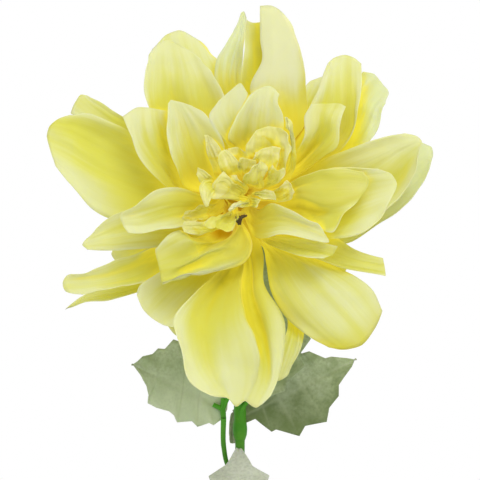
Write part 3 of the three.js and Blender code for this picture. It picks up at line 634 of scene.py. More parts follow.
# Each petal: its round, its angle round the pin, its length, its width, what sets it apart, and its lines. They are
# the creases and edges drawn along it from its neck to its tip, from its clockwise edge on. Each point is right and
# down on a grid as wide as the picture, then how far it comes forward in millimetres, if it does.
PETALS = [
    (1, 8, 76, 40, {"tone": 1.1}, [
        [(320, 236, 1), (343, 243, 2), (368, 231, 3), (396, 214, 3.5), (417, 190, 3), (429, 168, 2.5)],
        [(314, 226), (340, 226), (366, 216), (390, 202), (410, 182, 0.5), (433.5, 156, 1)],
        [(308, 214), (336, 208), (362, 200), (386, 188), (406, 170), (431.5, 147, 0.5)],
        [(302, 202), (332, 190), (358, 182), (382, 172), (402, 158), (425, 144, 0.5)],
        [(300, 190), (328, 176), (354, 166), (378, 158), (398, 148), (416, 141)],
    ]),
    (1, 63, 62, 22, {"tone": 0.7}, [
        [(312, 130), (322, 106), (330, 88), (330, 78)],
        [(304, 126), (312, 104), (320, 86), (322, 76)],
        [(296, 124), (303, 102), (309, 88), (311, 80)],
        [(290, 122, 1), (296, 102, 1), (302, 90, 1), (305, 84, 1)],
    ]),
    (1, 109, 72, 28, {"tone": 0.6}, [
        [(238, 118), (234, 88), (220, 63), (207, 49)],
        [(222, 118), (214, 85), (205, 58), (195, 38)],
        [(200, 118), (192, 85, 0.5), (186, 55, 0.5), (179, 30.5)],
        [(180, 118), (170, 85), (168, 55), (165, 34.5)],
        [(160, 116), (149, 90), (148, 66), (153, 49)],
    ]),
    (1, 150, 78, 17, {"tone": 0.3}, [
        [(160, 140, 1), (132, 122, 1), (114, 113, 1), (98, 101, 0.5), (87, 96, 0.3)],
        [(160, 146), (132, 130), (112, 120), (96, 108), (81, 95)],
        [(160, 152), (132, 138), (110, 128), (92, 118), (74, 104)],
        [(160, 158), (132, 146), (108, 134), (88, 124), (70, 113)],
    ]),
    (1, 210, 77, 12, {"tone": 0.2}, [
        [(196, 256), (164, 272), (130, 284), (100, 288.5), (84, 295), (70, 304)],
        [(196, 260), (164, 278), (130, 290), (102, 295.5), (85, 299), (65, 309.5)],
        [(198, 264, 1), (164, 282, 1), (134, 294, 1), (108, 300.5, 0.8), (87, 302, 0.3), (70, 308)],
    ]),
    (1, 248, 56, 32, {"tone": 0.5}, [
        [(212, 262), (190, 284), (172, 304), (165, 322)],
        [(220, 266), (200, 290), (184, 314), (174, 334)],
        [(228, 268), (212, 296), (200, 322), (188, 342)],
        [(234, 268), (224, 298), (214, 324), (204, 340)],
    ]),
    (2, 41, 71, 30, {"tone": 1.0}, [
        [(352, 160, 2), (371, 139, 3), (378.5, 127, 3), (382, 112, 2.5), (385, 102, 2)],
        [(340, 154), (362, 134, 1.5), (371, 116, 1.5), (377, 104, 1), (389, 92.5, 1)],
        [(330, 148), (352, 124, -0.5), (362, 106, -0.5), (368, 92, -0.5), (383, 83)],
        [(322, 140, -1), (346, 116, -1), (356, 98), (364, 84, 0.5), (374.5, 73.5, 0.5)],
        [(312, 132, -2), (340, 110, -3), (350, 92, -2), (357, 79, -1), (363, 71.5, 0.5)],
    ]),
    (2, 96, 80, 19, {"tone": 1.2}, [
        [(246, 110), (241, 80), (243, 58), (245, 38), (247.5, 17)],
        [(240, 110, 0.5), (234, 80, 0.5), (236, 58, 0.5), (241, 36, 0.5), (244, 11)],
        [(232, 110), (226, 82), (228, 58), (236, 36), (240.5, 13)],
        [(224, 108), (215, 82), (217, 58), (229, 39), (238, 24)],
    ]),
    (2, 201, 53, 24, {"tone": 0.6}, [
        [(190, 226), (160, 232), (135, 238), (115, 246)],
        [(190, 236), (160, 244), (135, 250), (111, 254)],
        [(192, 244), (162, 254), (138, 260), (117, 262.5)],
        [(194, 250), (168, 260), (146, 266), (130, 267)],
    ]),
    (2, 291, 71, 26, {"tone": 0.3}, [
        [(274, 262), (282, 296), (287.5, 326), (282, 346), (274, 370)],
        [(278, 262), (286, 296), (292, 326, 0.3), (287, 350, 0.3), (277, 381)],
        [(284, 262), (292, 296), (299, 326, 0.3), (296, 350, 0.3), (286, 377)],
        [(288, 262), (297, 294), (304, 322), (302, 345), (291, 369)],
    ]),
    (2, 329, 53, 24, {"tone": 0.1}, [
        [(276, 246), (300, 264), (322, 276), (336, 284)],
        [(282, 242), (306, 256), (330, 266), (346, 270)],
        [(288, 236), (312, 246), (334, 256), (350, 262)],
    ]),
    (3, 9, 75, 26, {"tone": 0.5}, [
        [(318, 232, 1), (346, 232, 2), (372, 222, 3), (396, 200, 3.5), (412, 174, 3), (418, 156, 2)],
        [(312, 218), (342, 212), (370, 202, -0.5), (394, 186, -2), (407, 168, -1.5), (420.5, 149, 1)],
        [(306, 202), (336, 192, -0.5), (360, 180, -0.5), (382, 168, -0.5), (402, 154), (422, 141.5, 0.5)],
        [(302, 188), (330, 174, 0.5), (354, 164, 1), (376, 155, 1), (396, 146, 1), (416, 136, 0.5)],
        [(298, 176, 1), (322, 160, 2), (348, 149.5, 2.5), (370, 141.5, 2.5), (388, 136, 2), (404, 133.5, 1)],
    ]),
    (3, 52, 72, 19, {"tone": 0.35}, [
        [(330, 160, 2), (351, 138, 3), (358, 108, 3), (361, 84, 2), (361.5, 64, 1)],
        [(324, 154, 1), (350, 133, 1), (354, 104, 0.6), (353, 80, 0.3), (354, 57.5)],
        [(312, 146, -1), (340, 131, -1.2), (343, 106, -0.3), (343, 80), (345, 54.5)],
        [(303, 140, 0.5), (322, 116, 1), (328, 96, 1), (332, 76, 1), (335, 56.5, 0.5)],
        [(296, 132, 2), (309, 106, 3), (316, 92, 3), (323, 76, 2), (328, 62, 1.5)],
    ]),
    (3, 169, 77, 40, {"tone": 0.0}, [
        [(190, 172, 1), (150, 146, 2), (122, 126, 3), (100, 117, 3), (82, 113.5, 2), (70, 114, 1)],
        [(190, 178, 1), (150, 156, 1.5), (118, 138, 0.8), (94, 127, 0.8), (74, 121, 0.5), (58, 118.5, 0.3)],
        [(190, 186, 1), (150, 168, 1), (116, 154, -0.4), (90, 142, -1), (70, 131, -0.5), (49, 126)],
        [(190, 194, 1.5), (150, 182, 2), (114, 170, 1), (88, 156), (68, 144), (46.5, 136)],
        [(192, 202, 0.8), (152, 196, 1), (116, 186, 1.2), (90, 174, 1.2), (68, 160, 1), (50, 149, 0.5)],
        [(196, 214, 2), (150, 216, 3), (116, 220, 3), (92, 209, 3), (74, 188, 2.5), (56, 166, 1.5)],
    ]),
    (3, 211, 74, 11, {"tone": 0.1}, [
        [(190, 236, 1), (160, 244, 2), (130, 256, 2.5), (100, 267, 2.5), (78, 274.5, 2)],
        [(190, 240), (160, 250), (130, 263), (100, 273, 0.5), (66, 277, 1)],
        [(192, 246), (160, 262, -0.5), (130, 274, -0.5), (100, 281), (62.5, 283, 0.5)],
        [(194, 250), (162, 270, 0.3), (130, 282, 0.3), (100, 287, 0.5), (65, 291, 0.5)],
        [(196, 254, 1), (164, 277, 1.5), (132, 284.5, 2), (104, 289, 2), (82, 294, 1.5)],
    ]),
    (3, 237, 54, 33, {"tone": 0.6}, [
        [(205, 250, 1), (180, 262, 1.5), (156, 274, 2), (140, 286, 1.5), (137.5, 296, 1)],
        [(210, 254), (188, 270), (166, 284), (150, 298), (143, 309, 0.5)],
        [(216, 258), (196, 278), (176, 294), (162, 308), (152, 318, 0.5)],
        [(222, 262), (206, 284), (188, 302), (176, 314), (163, 325, 0.5)],
        [(228, 264, 1), (214, 288, 1), (200, 304, 1), (188, 316, 1), (174, 328, 1)],
    ]),
    (3, 315, 73, 37, {"tone": 0.6}, [
        [(261, 246), (266, 264), (270, 289), (283, 315, -1), (304, 334, -2), (329, 346, -4)],
        [(262, 242), (276, 262, 0.5), (286, 284, 1), (302, 308, 0.3), (322, 330, -1), (347, 348.5, -4)],
        [(268, 240), (288, 260, 1), (304, 280, 1.6), (322, 302, 1), (342, 322, -0.5), (362, 344.5, -3.5)],
        [(274, 238), (300, 256, 0.5), (320, 272, 1), (340, 288, 0.8), (358, 308, -0.5), (375.5, 328, -3)],
        [(282, 236), (312, 252), (337, 266), (359, 279, -0.3), (373, 291, -1), (382.5, 311, -2.5)],
    ]),
    (4, 72, 78, 28, {"tone": 0.3, "painted_root_shade": (0.46, 1, 0.46)}, [
        [(262, 124, 5), (250, 88, 6), (262, 60, 7), (260, 38, 7), (260, 6.5, 5)],
        [(280, 122, 5), (274, 90, 6), (276, 60, 7), (274, 34, 7), (272, 5.5, 5)],
        [(300, 122, 3), (298, 92, 4), (294, 60, 5), (288, 32, 5), (282, 10, 4)],
        [(308, 120, 1), (307, 94, 1.5), (303, 64, 2), (296, 38, 2), (288, 17, 2)],
        [(290, 122, -1), (284, 94, -1), (280, 64, -1), (276, 38, -1), (270, 20, -1)],
        [(262, 122, -1), (256, 92, -1), (254, 62, -1), (254, 40, -1), (254, 21.5, -1)],
        [(250, 120), (240, 82, 1), (242, 64, 1), (246, 46, 1), (248.5, 19, 1)],
    ]),
    (4, 116, 70, 32, {"tone": 0.35}, [
        [(226, 120, 3), (224, 96, 4), (212, 74, 4), (200, 59, 2)],
        [(212, 122), (208, 98), (200, 74, 0.5), (190, 50, 0.5)],
        [(196, 124, 1), (190, 98, 1.5), (186, 72, 1), (178, 42.5)],
        [(178, 122, -0.5), (172, 98, -0.5), (170, 70), (167, 40, 0.5)],
        [(160, 118, 2.5), (155, 96, 2.5), (155, 68, 2), (157, 45, 1.5)],
        [(152, 112, 3.5), (145.5, 94, 4), (146, 68, 4), (150, 55, 3)],
    ]),
    (4, 199, 60, 20, {"tone": 0.5}, [
        [(190, 212, 1), (160, 208, 2), (130, 210, 2), (108, 219, 1.5), (96, 228, 1)],
        [(190, 220), (160, 220), (130, 224), (106, 231), (87, 238)],
        [(190, 230), (160, 232), (130, 236), (106, 240), (82.5, 245)],
        [(192, 240, 1), (162, 246, 1.5), (134, 249.5, 1.5), (110, 250, 1), (87.5, 250, 0.5)],
    ]),
    (4, 268, 81, 42, {"tone": 0.4}, [
        [(226, 262, 2), (200, 290, 3), (173, 320, 4), (179, 350, 4), (190, 378, 3), (202, 390, 1.5)],
        [(230, 262), (207, 290, 0.5), (185, 320, 1), (187, 350, 1.5), (200, 378, 1), (214, 396.5, 0.5)],
        [(234, 262, -0.5), (216, 290, -1.6), (204, 320, -1.8), (206, 350, -1.2), (214, 378, -0.4), (228, 398.5)],
        [(240, 262), (227, 290), (220, 320, 0.5), (224, 350, 1), (230, 378, 0.8), (236, 407)],
        [(243, 262, 0.5), (239, 290, 2), (243, 318, 2.4), (253, 340, 2), (258, 372, 1), (245, 401, 0.3)],
        [(245, 262, -0.5), (242, 290, -1), (247, 318, -1.4), (257, 340, -1), (262, 372), (249, 404)],
        [(250, 262, -1), (251, 292, -2), (258, 320, -2.6), (265, 346, -1.6), (267, 378, -0.4), (256, 408)],
        [(254, 262, 1.5), (257, 290, 1.5), (268, 320, 1.5), (273, 350, 1.5), (271, 378, 1), (262, 405, 0.3)],
        [(262.5, 250, 0.5), (264.5, 285, 1), (284, 319, 1), (284, 350, 1), (278, 378, 0.5), (271.5, 396, 0.5)],
    ]),
    (4, 334, 63, 12, {"tone": 0.0}, [
        [(268, 236, 0.5), (290, 248, 1), (318, 259, 1), (345, 268.5, 0.5), (375, 274), (386, 276)],
        [(270, 232), (296, 240), (322, 251, 0.3), (350, 261, 0.3), (378, 266), (385, 267)],
        [(276, 224, 1), (304, 226, 1.5), (332, 235, 1.5), (355, 249.5, 0.5), (376, 256.5), (383, 258)],
    ]),
    (5, 356, 62, 26, {"tone": 0.2}, [
        [(300, 232, 2), (322, 238, 3), (344, 238, 3.5), (366, 230, 3), (384, 212, 2.5)],
        [(296, 222), (320, 222), (346, 218), (368, 208, 0.5), (392, 198, 1)],
        [(292, 210), (318, 204, -0.5), (344, 198, -0.5), (368, 190), (397, 184, 0.5)],
        [(290, 198), (316, 188), (342, 183, 0.5), (364, 178, 0.5), (391, 173.5, 0.5)],
        [(290, 186, 1.5), (314, 174, 2), (338, 168, 2.5), (358, 167, 2), (378, 169.5, 1)],
    ]),
    (5, 32, 49, 19, {"tone": -0.15}, [
        [(302, 172, 1), (323, 157, 1.5), (338, 146, 1.8), (340, 126, 1.8), (345, 106, 1.6)],
        [(298, 168, 0.5), (317, 152, 1), (331, 136, 1.5), (334, 120, 1.5), (340, 103, 1)],
        [(294, 166, -1), (309, 153, -2.5), (323, 133, -0.5), (327, 115, 1), (332, 103, 0.6)],
        [(290, 164, 0.5), (305, 148, 1), (317, 130, 1.5), (319, 113, 1), (322, 103.5, 0.5)],
        [(286, 162, 2), (299, 147, 2.5), (305, 134, 2.5), (305, 116, 2), (311, 104.5, 1)],
    ]),
    (5, 152, 49, 23, {"tone": 0.4}, [
        [(205, 186), (190, 160), (178, 136), (172, 118), (168, 111)],
        [(198, 190, -0.5), (180, 166, -1), (166, 142, -1.5), (160, 122, -1), (158, 109.5, -0.5)],
        [(192, 194), (170, 168), (154, 146, 0.5), (148, 126, 0.5), (147, 107.5)],
        [(186, 196, 1), (162, 172, 1.5), (144, 150, 1.5), (136, 130, 1.2), (136, 107.5, 0.5)],
        [(182, 197, 2), (156, 178, 3), (138, 154, 3), (129, 134, 2.5), (122.5, 116.5, 1.5)],
    ]),
    (5, 230, 42, 29, {"tone": -0.75, "painted_root_shade": (0.42, 0.4, 1.0)}, [
        [(212, 232, 1), (194, 238, 1), (180, 229, 2), (166, 237, 2.5), (155, 249, 2)],
        [(220, 236), (202, 243, 3), (188, 240, 3.5), (173, 246, 1.5), (156, 256, 1)],
        [(229, 236), (208, 246, 1), (196, 253, 1), (178, 259, 0.5), (158, 264, 0.5)],
        [(239, 226, 5), (226, 244, 6), (206, 253, 5), (182, 266, 1.5), (160, 273, 0.5)],
        [(243, 227, 5), (238, 247, 4.5), (212, 259, 2.5), (186, 270, 0.5), (161, 279, 1)],
        [(250, 236, 5), (246, 256, 6), (222, 266, 5.5), (194, 273, 4), (163, 283, 2)],
        [(252, 246, 3), (242, 264, 4), (216, 269, 4), (188, 277, 2.5), (163, 287, 1)],
    ]),
    (5, 325, 49, 16, {"tone": -0.4}, [
        [(262, 240, 1), (282, 250, 1.5), (304, 257, 1.5), (324, 260, 1)],
        [(264, 236), (284, 243), (306, 249, 0.3), (332, 256, 0.3)],
        [(268, 232, 1), (290, 238, 1.5), (314, 241, 1.5), (338, 246, 1)],
    ]),
    (6, 355, 54, 23, {"tone": -0.35, "painted_root_shade": (0.42, 0.6, 0.62)}, [
        [(286, 214, 1), (304, 222, 2), (320, 229, 2), (333, 232, 2), (341, 217, 1.5)],
        [(284, 208, -1), (303, 210, -1.6), (320, 213, -1.2), (336, 213, -0.5), (352, 207, 0.3)],
        [(284, 198, 0.5), (303, 196, 1.2), (322, 203, 1.2), (340, 201, 0.5), (362, 195, 0.3)],
        [(284, 192), (302, 184, 0.5), (322, 179, 0.5), (346, 177, 0.5), (369, 181, 0.3)],
        [(284, 186, 1), (300, 177, 2), (320, 171, 2), (342, 169, 1.5), (363, 172, 0.5)],
    ]),
    (6, 70, 43, 18, {"tone": 0.75}, [
        [(280, 158, 2), (283, 136, 2), (283, 116, 1.5), (278, 103, 1), (279, 95, 0.5)],
        [(270, 158), (272, 136), (273, 116), (272, 100), (275, 89, 0.2)],
        [(258, 156), (260, 136, 0.5), (262, 116, 0.5), (264, 100, 0.3), (268, 85.5, 0.2)],
        [(246, 152), (247, 134), (250, 116), (255, 100), (259, 88.5, 0.2)],
        [(236, 148, 1), (228, 138, 1.5), (236, 118, 1.5), (243, 106, 1), (250, 94, 0.5)],
    ]),
    (6, 88, 42, 15, {"tone": 0.75, "painted_root_shade": (0.4, 1, 0.6)}, [
        [(252, 150), (254, 124), (253, 106), (248, 92)],
        [(246, 150), (243, 124, 0.5), (242, 104, 0.8), (240.5, 83, 0.3)],
        [(238, 150), (230, 126), (226, 108, 0.3), (231, 90, 0.5)],
        [(230, 150, 1), (216, 130, 1.5), (209, 116, 1.5), (219, 101, 1)],
    ]),
    (6, 120, 39, 20, {"tone": 0.75, "painted_root_shade": (0.42, 1, 0.5)}, [
        [(226, 166, 1), (223, 142, 2), (213, 124, 2), (203, 112.5, 2), (192, 106, 1)],
        [(214, 172), (208, 150), (200, 132), (192, 117, 0.3), (184, 103, 0.3)],
        [(204, 178, -1), (194, 156, -1.5), (188, 136, -1), (182, 118, -0.5), (176, 101)],
        [(194, 184), (184, 162), (178, 140), (175, 120), (170, 100.5)],
        [(186, 188, 2), (176, 168, 3), (169, 146, 3), (167, 124, 2), (166.5, 104, 1)],
    ]),
    (6, 202, 45, 21, {"tone": 0.5}, [
        [(205, 196, 1), (180, 188, 2), (160, 190, 2.5), (142, 198, 2.5), (130, 207, 2)],
        [(204, 204), (180, 202), (160, 205), (140, 212), (120, 216, 0.5)],
        [(204, 212), (180, 214, -0.5), (160, 218, -0.5), (140, 224), (123, 225, 0.5)],
        [(206, 220, 1), (184, 226, 2), (162, 229, 2.5), (144, 232, 2), (128, 232, 1.5)],
    ]),
    (6, 331, 41, 14, {"rise": (48, 34, 8), "tone": 0.4}, [
        [(254, 236, 1), (266, 238, 2), (280, 235, 2.5), (300, 237, 2), (316, 240, 1)],
        [(254, 228), (268, 228, 0.3), (284, 226, 0.3), (304, 231, 0.6), (329, 241, 1.2)],
        [(256, 220), (270, 216), (286, 217), (304, 223, 0.3), (323, 231, 0.3)],
        [(258, 210, 1.5), (272, 203, 2.5), (288, 209, 2.5), (304, 218, 2), (318, 223.5, 1)],
    ]),
    (6, 243, 28, 14, {"neck": 2.4, "tone": 0.4, "painted_root_shade": (0.3, 1, 0.9), "paints_pit_shadow": True}, [
        [(235.5, 217, 3), (236, 220.5, 3), (237.5, 224.5, 3.5)],
        [(240, 216, 3), (239.5, 220.5, 3), (238.8, 225, 3.5)],
        [(246.5, 213.5, 3), (243.5, 219, 3), (240.5, 224.5, 3.5)],
    ]),
    (7, 5, 23, 12, {"tone": 0.5}, [
        [(266, 201), (280, 202, 0.5), (290, 199, 1), (295, 192, 1)],
        [(266, 197), (278, 196), (286, 192), (291, 186, 0.5)],
        [(266, 192, 0.5), (275, 191, 1), (281, 186, 1), (287, 180, 0.5)],
    ]),
    (7, 34, 28, 13, {"tone": 0.1}, [
        [(280, 190), (294, 172), (297, 150, 0.5), (295, 134, 0.5), (290, 119)],
        [(276, 186), (290, 168, 0.5), (292, 148, 1), (290, 132, 1), (287, 117, 0.3)],
        [(272, 182), (286, 164), (287, 146), (286, 130), (283.5, 117)],
    ]),
    (7, 63, 28, 17, {"tone": 0.5}, [
        [(277, 186, 1), (283, 169, 3), (286, 153, 4), (284, 138, 3.5), (280, 128, 2)],
        [(272, 182), (279, 166), (280, 152, 0.5), (279, 138, 0.5), (276, 127, 0.5)],
        [(266, 178), (270, 164, -1), (271, 150, -1), (270, 138, -0.5), (269, 126.5, 0.3)],
        [(260, 174), (261, 160, -0.5), (262, 148), (262, 138), (262, 129, 0.3)],
        [(252, 172, 1), (249, 160, 2), (249, 148, 2.5), (252, 140, 2), (256, 134, 1.5)],
    ]),
    (7, 89, 25, 14, {"tone": 0.3}, [
        [(250, 172), (249, 162, 1), (247, 154, 1), (243, 149, 0.5)],
        [(244, 172), (242, 162), (240, 154), (237, 147, 0.3)],
        [(238, 172), (234, 162, 0.5), (229, 154, 1), (228, 148, 0.5)],
    ]),
    (7, 119, 25, 15, {"rise": (46, 32, 4), "tone": 0.8}, [
        [(232, 176), (227, 164, 1), (221, 150, 1), (211, 137, 1)],
        [(224, 178), (219, 166, 0.5), (213, 150, 0.5), (207, 135, 0.5)],
        [(216, 178), (211, 166), (206, 150), (204, 135)],
    ]),
    (7, 189, 22, 14, {"tone": 0.5}, [
        [(216, 204, 1), (206, 206, 1.5), (197, 209, 1.5), (186, 213, 1)],
        [(216, 210), (204, 212), (194, 214, -0.5), (182, 217)],
        [(216, 216), (206, 219, 0.5), (196, 222, 1), (184, 222, 0.5)],
    ]),
    (7, 214, 27, 12, {"tone": 0.5}, [
        [(226, 222), (212, 222, 0.5), (198, 224, 1), (184, 222, 1)],
        [(222, 227), (210, 228), (198, 229), (182, 227, 0.3)],
        [(218, 230), (208, 233, 0.5), (197, 235, 0.5), (184, 232, 0.3)],
    ]),
    (8, 19, 24, 12, {"tone": 0.4}, [
        [(262, 190), (272, 186, 0.5), (279, 182, 1.5), (283, 175, 2), (282, 168.5, 2)],
        [(262, 186), (270, 182, -0.5), (275, 176, -0.5), (277, 171)],
        [(262, 181), (266, 176, -1), (269, 170, -1), (272, 165)],
    ]),
    (8, 59, 22, 13, {"tone": 0.4}, [
        [(268, 184), (276, 170), (280, 158), (281, 148)],
        [(262, 182), (268, 168, 0.5), (272, 156, 1), (273, 146, 0.5)],
        [(256, 180), (259, 168), (262, 157, 0.5), (264, 148.5, 0.5)],
        [(250, 178), (250, 168), (253, 160, 0.5), (256, 153, 0.5)],
    ]),
    (8, 92, 18, 11, {"rise": (70, 62, 30), "tone": 0.3}, [
        [(252, 182), (255, 170, 1), (256, 161, 1)],
        [(246, 180), (247, 168), (247.5, 158, 0.5)],
        [(240, 178), (238, 168, 0.5), (240, 158, 0.5)],
    ]),
    (8, 151, 17, 13, {"rise": (68, 56, 18), "tone": 0.45}, [
        [(246, 180), (244, 170, 0.5), (236, 159, 1), (226, 149.5, 0.5)],
        [(238, 184), (233, 173, 0.5), (227, 162, 0.5), (221, 151, 0.3)],
        [(230, 186), (224, 177), (219, 166), (218, 155)],
    ]),
    (8, 188, 15, 13, {"tone": 0.3}, [
        [(228, 188), (216, 180), (207, 173, 1), (198, 169.5, 1.5)],
        [(228, 193), (216, 186), (206, 180), (197, 174, 0.5)],
        [(228, 198), (217, 193), (207, 188), (200, 182)],
    ]),
    (8, 225, 23, 12, {"tone": 0.45}, [
        [(222, 184), (208, 179, 1), (201, 184, 1.5), (200.5, 193, 1), (205, 206.5, 0.5)],
        [(224, 190), (212, 184, 0.5), (206, 188, 1), (205, 196, 1), (206.5, 207, 0.3)],
        [(226, 196), (219, 190), (214, 192), (212, 198), (208, 206)],
    ]),
    (8, 260, 21, 11, {"tone": -0.4}, [
        [(228, 211, 1), (216, 215, 2), (208, 219, 2), (204, 225, 1.5)],
        [(231, 212, 2), (222, 217, 2), (215, 223, 1.5), (210, 229, 1)],
        [(233, 213), (229, 218, -1), (223, 224, -1), (218, 228.5)],
        [(235, 214), (234, 218, -1), (229, 224, -1), (226, 229)],
        [(237, 212), (237, 217), (235, 222), (232, 228)],
    ]),
    (8, 342, 21, 11, {"tone": 0.5}, [
        [(248, 195), (256, 196), (265, 199, 0.3), (275, 200, 0.5)],
        [(248, 193.5), (257, 193.5, 0.5), (266, 194, 1), (276, 196.5, 0.5)],
        [(248, 192), (257, 191.5, 0.5), (265, 189.5, 1), (274, 191.5, 0.5)],
    ]),
    (9, 42, 17, 11, {"tone": 0.5}, [
        [(264, 189), (264.5, 178, 0.5), (268, 168, 1), (263, 162, 0.5)],
        [(258, 190, 0.5), (257, 180, 1), (259, 169, 1), (260, 160, 0.5)],
        [(252, 189, 0.5), (250, 180, 0.5), (252, 171, 0.5), (258, 164, 0.3)],
        [(244, 189), (242.5, 181), (246, 173, 0.3), (254, 168.5, 0.3)],
    ]),
    (9, 114, 13, 13, {"tone": 0.45}, [
        [(248, 195, 0.5), (244, 187, 0.8), (240, 180, 1), (236, 175.5, 0.5)],
        [(247, 197), (240, 188), (235, 181, 0.3), (232, 175.5, 0.3)],
        [(246, 198), (236, 189), (230, 181), (228, 176)],
    ]),
    (9, 171, 12, 10, {"tone": 0.55}, [
        [(246, 196, 1), (238, 187, 1.5), (230, 179, 1.5), (223, 171.5, 1)],
        [(244, 198), (232, 190, 0.5), (221, 184, 0.7), (212, 184, 0.3)],
        [(243, 199.5), (231, 199.5, 0.5), (220, 199, 0.7), (212, 199, 0.3)],
    ]),
    (9, 229, 13, 10, {"rise": (80, 90, 70), "tone": 0.6}, [
        [(250, 198, 1), (243, 199.5, 2), (236, 202, 2), (229, 208, 1)],
        [(251, 202, 2), (244, 203, 3), (237, 205.5, 3), (228.5, 210.5, 2)],
        [(251, 206, 1), (245, 208, 1.5), (238, 209, 1.5), (231, 212, 1)],
    ]),
    (9, 300, 11, 12, {"rise": (84, 108, 150)}, [
        [(240, 194, -4), (243, 196, -5)],
        [(236, 192, -4), (238, 192, -5)],
        [(232, 192, -4), (232, 190, -5)],
    ]),
    (9, 355, 15, 10, {"tone": 0.0}, [
        [(250, 206), (253, 207, 0.3), (256, 206, 0.5)],
        [(250, 202), (254, 202), (258, 202)],
        [(250, 197), (255, 198), (260, 199)],
    ]),
]


def middle_line(angle, petal, along):
    """Along a petal's middle: shares of its length, points, the way ahead at each, and the way across."""
    turn = math.radians(angle)
    outward = RIGHT * math.cos(turn) + UP * math.sin(turn)
    sideways = UP * math.cos(turn) - RIGHT * math.sin(turn)
    start, middle, end = np.radians(petal["rise"])
    fine = np.linspace(0, 1, CURVE_STEPS + 1)
    rise = (1 - fine) ** 2 * start + 2 * fine * (1 - fine) * middle + fine**2 * end
    ahead = np.outer(np.cos(rise), outward) + np.outer(np.sin(rise), FACE)
    line = np.vstack([np.zeros(3), np.cumsum((ahead[1:] + ahead[:-1]) / 2, axis=0)]) * petal["length"] / CURVE_STEPS
    line += HUB + outward * petal["root"] + FACE * petal["high"]
    t = np.linspace(0, 1, along + 1)
    s = TIP_AT * (0.5 * t + 0.5 * np.sin(t * np.pi / 2))
    line, ahead = [np.stack([np.interp(s, fine, way[:, k]) for k in range(3)], 1) for way in (line, ahead)]
    return s, line, ahead, sideways


def drawn_grid(angle, petal, drawn, sharp, across, along):
    """The petal's surface laid through its drawn lines, at the depths of its middle, and creased on them."""
    s, middle, ahead, sideways = middle_line(angle, petal, along)
    depths = (middle - ahead * (NOTCH * petal["length"] * s**6)[:, None])[:, 1]
    rails = []
    for k, line in enumerate(drawn):
        u = 2 * round(k / (len(drawn) - 1) * across) / across - 1
        points = [(*(middle[0] + sideways * u * petal["neck"] / 2), 0)]
        for n, (right, down, *raised) in enumerate(line):
            forward = sum(raised)
            depth = np.interp((n + 1) / len(line), np.linspace(0, 1, along + 1), depths) - forward * RELIEF
            step = GRID * (1 + (depth - HUB[1]) / VIEWED_FROM)
            x, z = (right - PICTURE_MIDDLE) * step, EYE_HEIGHT - (down - PICTURE_MIDDLE) * step
            points.append((x, depth, z, forward))
        rails.append(smooth_curve(points, along + 1))
    rails = np.stack(rails, 1)
    smooth = np.stack([smooth_curve(row, across + 1) for row in rails])
    places = np.linspace(0, len(drawn) - 1, across + 1)
    k = np.minimum(places.astype(int), len(drawn) - 2)
    w = (places - k)[:, None]
    return smooth * (1 - sharp) + (rails[:, k] * (1 - w) + rails[:, k + 1] * w) * sharp


pleating, given = tree_of(
    "pleated_cloth",
    {
        "Pleats": "Float", "Pleat depth": "Float", "Crease depth": "Float", "Ripples": "Float",
        "Ripple depth": "Float", "Crumples": "Float", "Crumple depth": "Float", "Rumples": "Float",
        "Rumple depth": "Float", "Seed": "Float", "Material": "Material",
    },
)
cloth = given["Geometry"]
along, across, petal_number = [attribute(cloth, name) for name in ("along", "across", "petal")]
size = attribute(cloth, "size")
number = petal_number * 7.31 + given["Seed"]
body = (along * (1 - along) * 4) ** 0.6
fan = cloth.noise(cloth.vector(across * given["Pleats"], along * 0.9, number), 1, 1) - 0.5
crease = cloth.noise(cloth.vector(across * given["Pleats"] * 1.3, along * 1.1, number + 40), 1, 1) - 0.5
crease = cloth.math("ABSOLUTE", crease) * given["Crease depth"]
pleat = (fan * given["Pleat depth"] + crease) * body * size
swing = cloth.math("SINE", along * given["Ripples"] * 6.283 + number * 2.1 + across * 1.4)
ripple = swing * cloth.math("ABSOLUTE", across) ** 3 * along * size * given["Ripple depth"]
crumple = cloth.noise(cloth.node("GeometryNodeInputPosition"), given["Crumples"], 1) - 0.5
crumple = crumple * given["Crumple depth"] * along
rumple = cloth.math("ABSOLUTE", cloth.noise(cloth.node("GeometryNodeInputPosition"), given["Rumples"], 1) - 0.5)
# Where the rumples crease the cloth, stored as sunk for the satin to paint shade into the creases
sunk = (1 - rumple.between(0.0, 0.05)) * given["Rumple depth"] * 400
lift = cloth.node(
    "ShaderNodeVectorMath",
    {0: cloth.node("GeometryNodeInputNormal"), "Scale": pleat + ripple + crumple + rumple * given["Rumple depth"]},
    {"operation": "SCALE"},
)
sockets = {"Geometry": cloth, "Name": "sunk", "Value": sunk}
cloth = cloth.node("GeometryNodeStoreNamedAttribute", sockets, {"data_type": "FLOAT", "domain": "POINT"})
cloth = cloth.node("GeometryNodeSetPosition", {"Geometry": cloth, "Offset": lift})
cloth = cloth.node("GeometryNodeSetShadeSmooth", {0: cloth})
close_tree(cloth, given["Material"])

petal_cloth, wire = finish_of("petal_satin")
along, across, petal_number, tone, hollow, forward, sunk = [
    wire.node("ShaderNodeAttribute", settings={"attribute_name": name}, out="Fac")
    for name in ("along", "across", "petal", "tone", "hollow", "forward", "sunk")
]
place = wire.node("ShaderNodeTexCoord", out="Object")
edge = wire.math("ABSOLUTE", across)
streaks = wire.noise(wire.vector(across * 5, along * 0.7, petal_number * 3.7), 1, 3, 0.6)
lines = wire.noise(wire.vector(across * 26, along * 2.2, petal_number * 5.1), 1, 2)
wash = wire.noise(place, 40, 2)
throat = 1 - (along + (streaks - 0.5) * 0.35).between(0.0, 0.6)
bands = wire.noise(wire.vector(across * 1.9, along * 1.3, petal_number * 9.1), 1, 1)
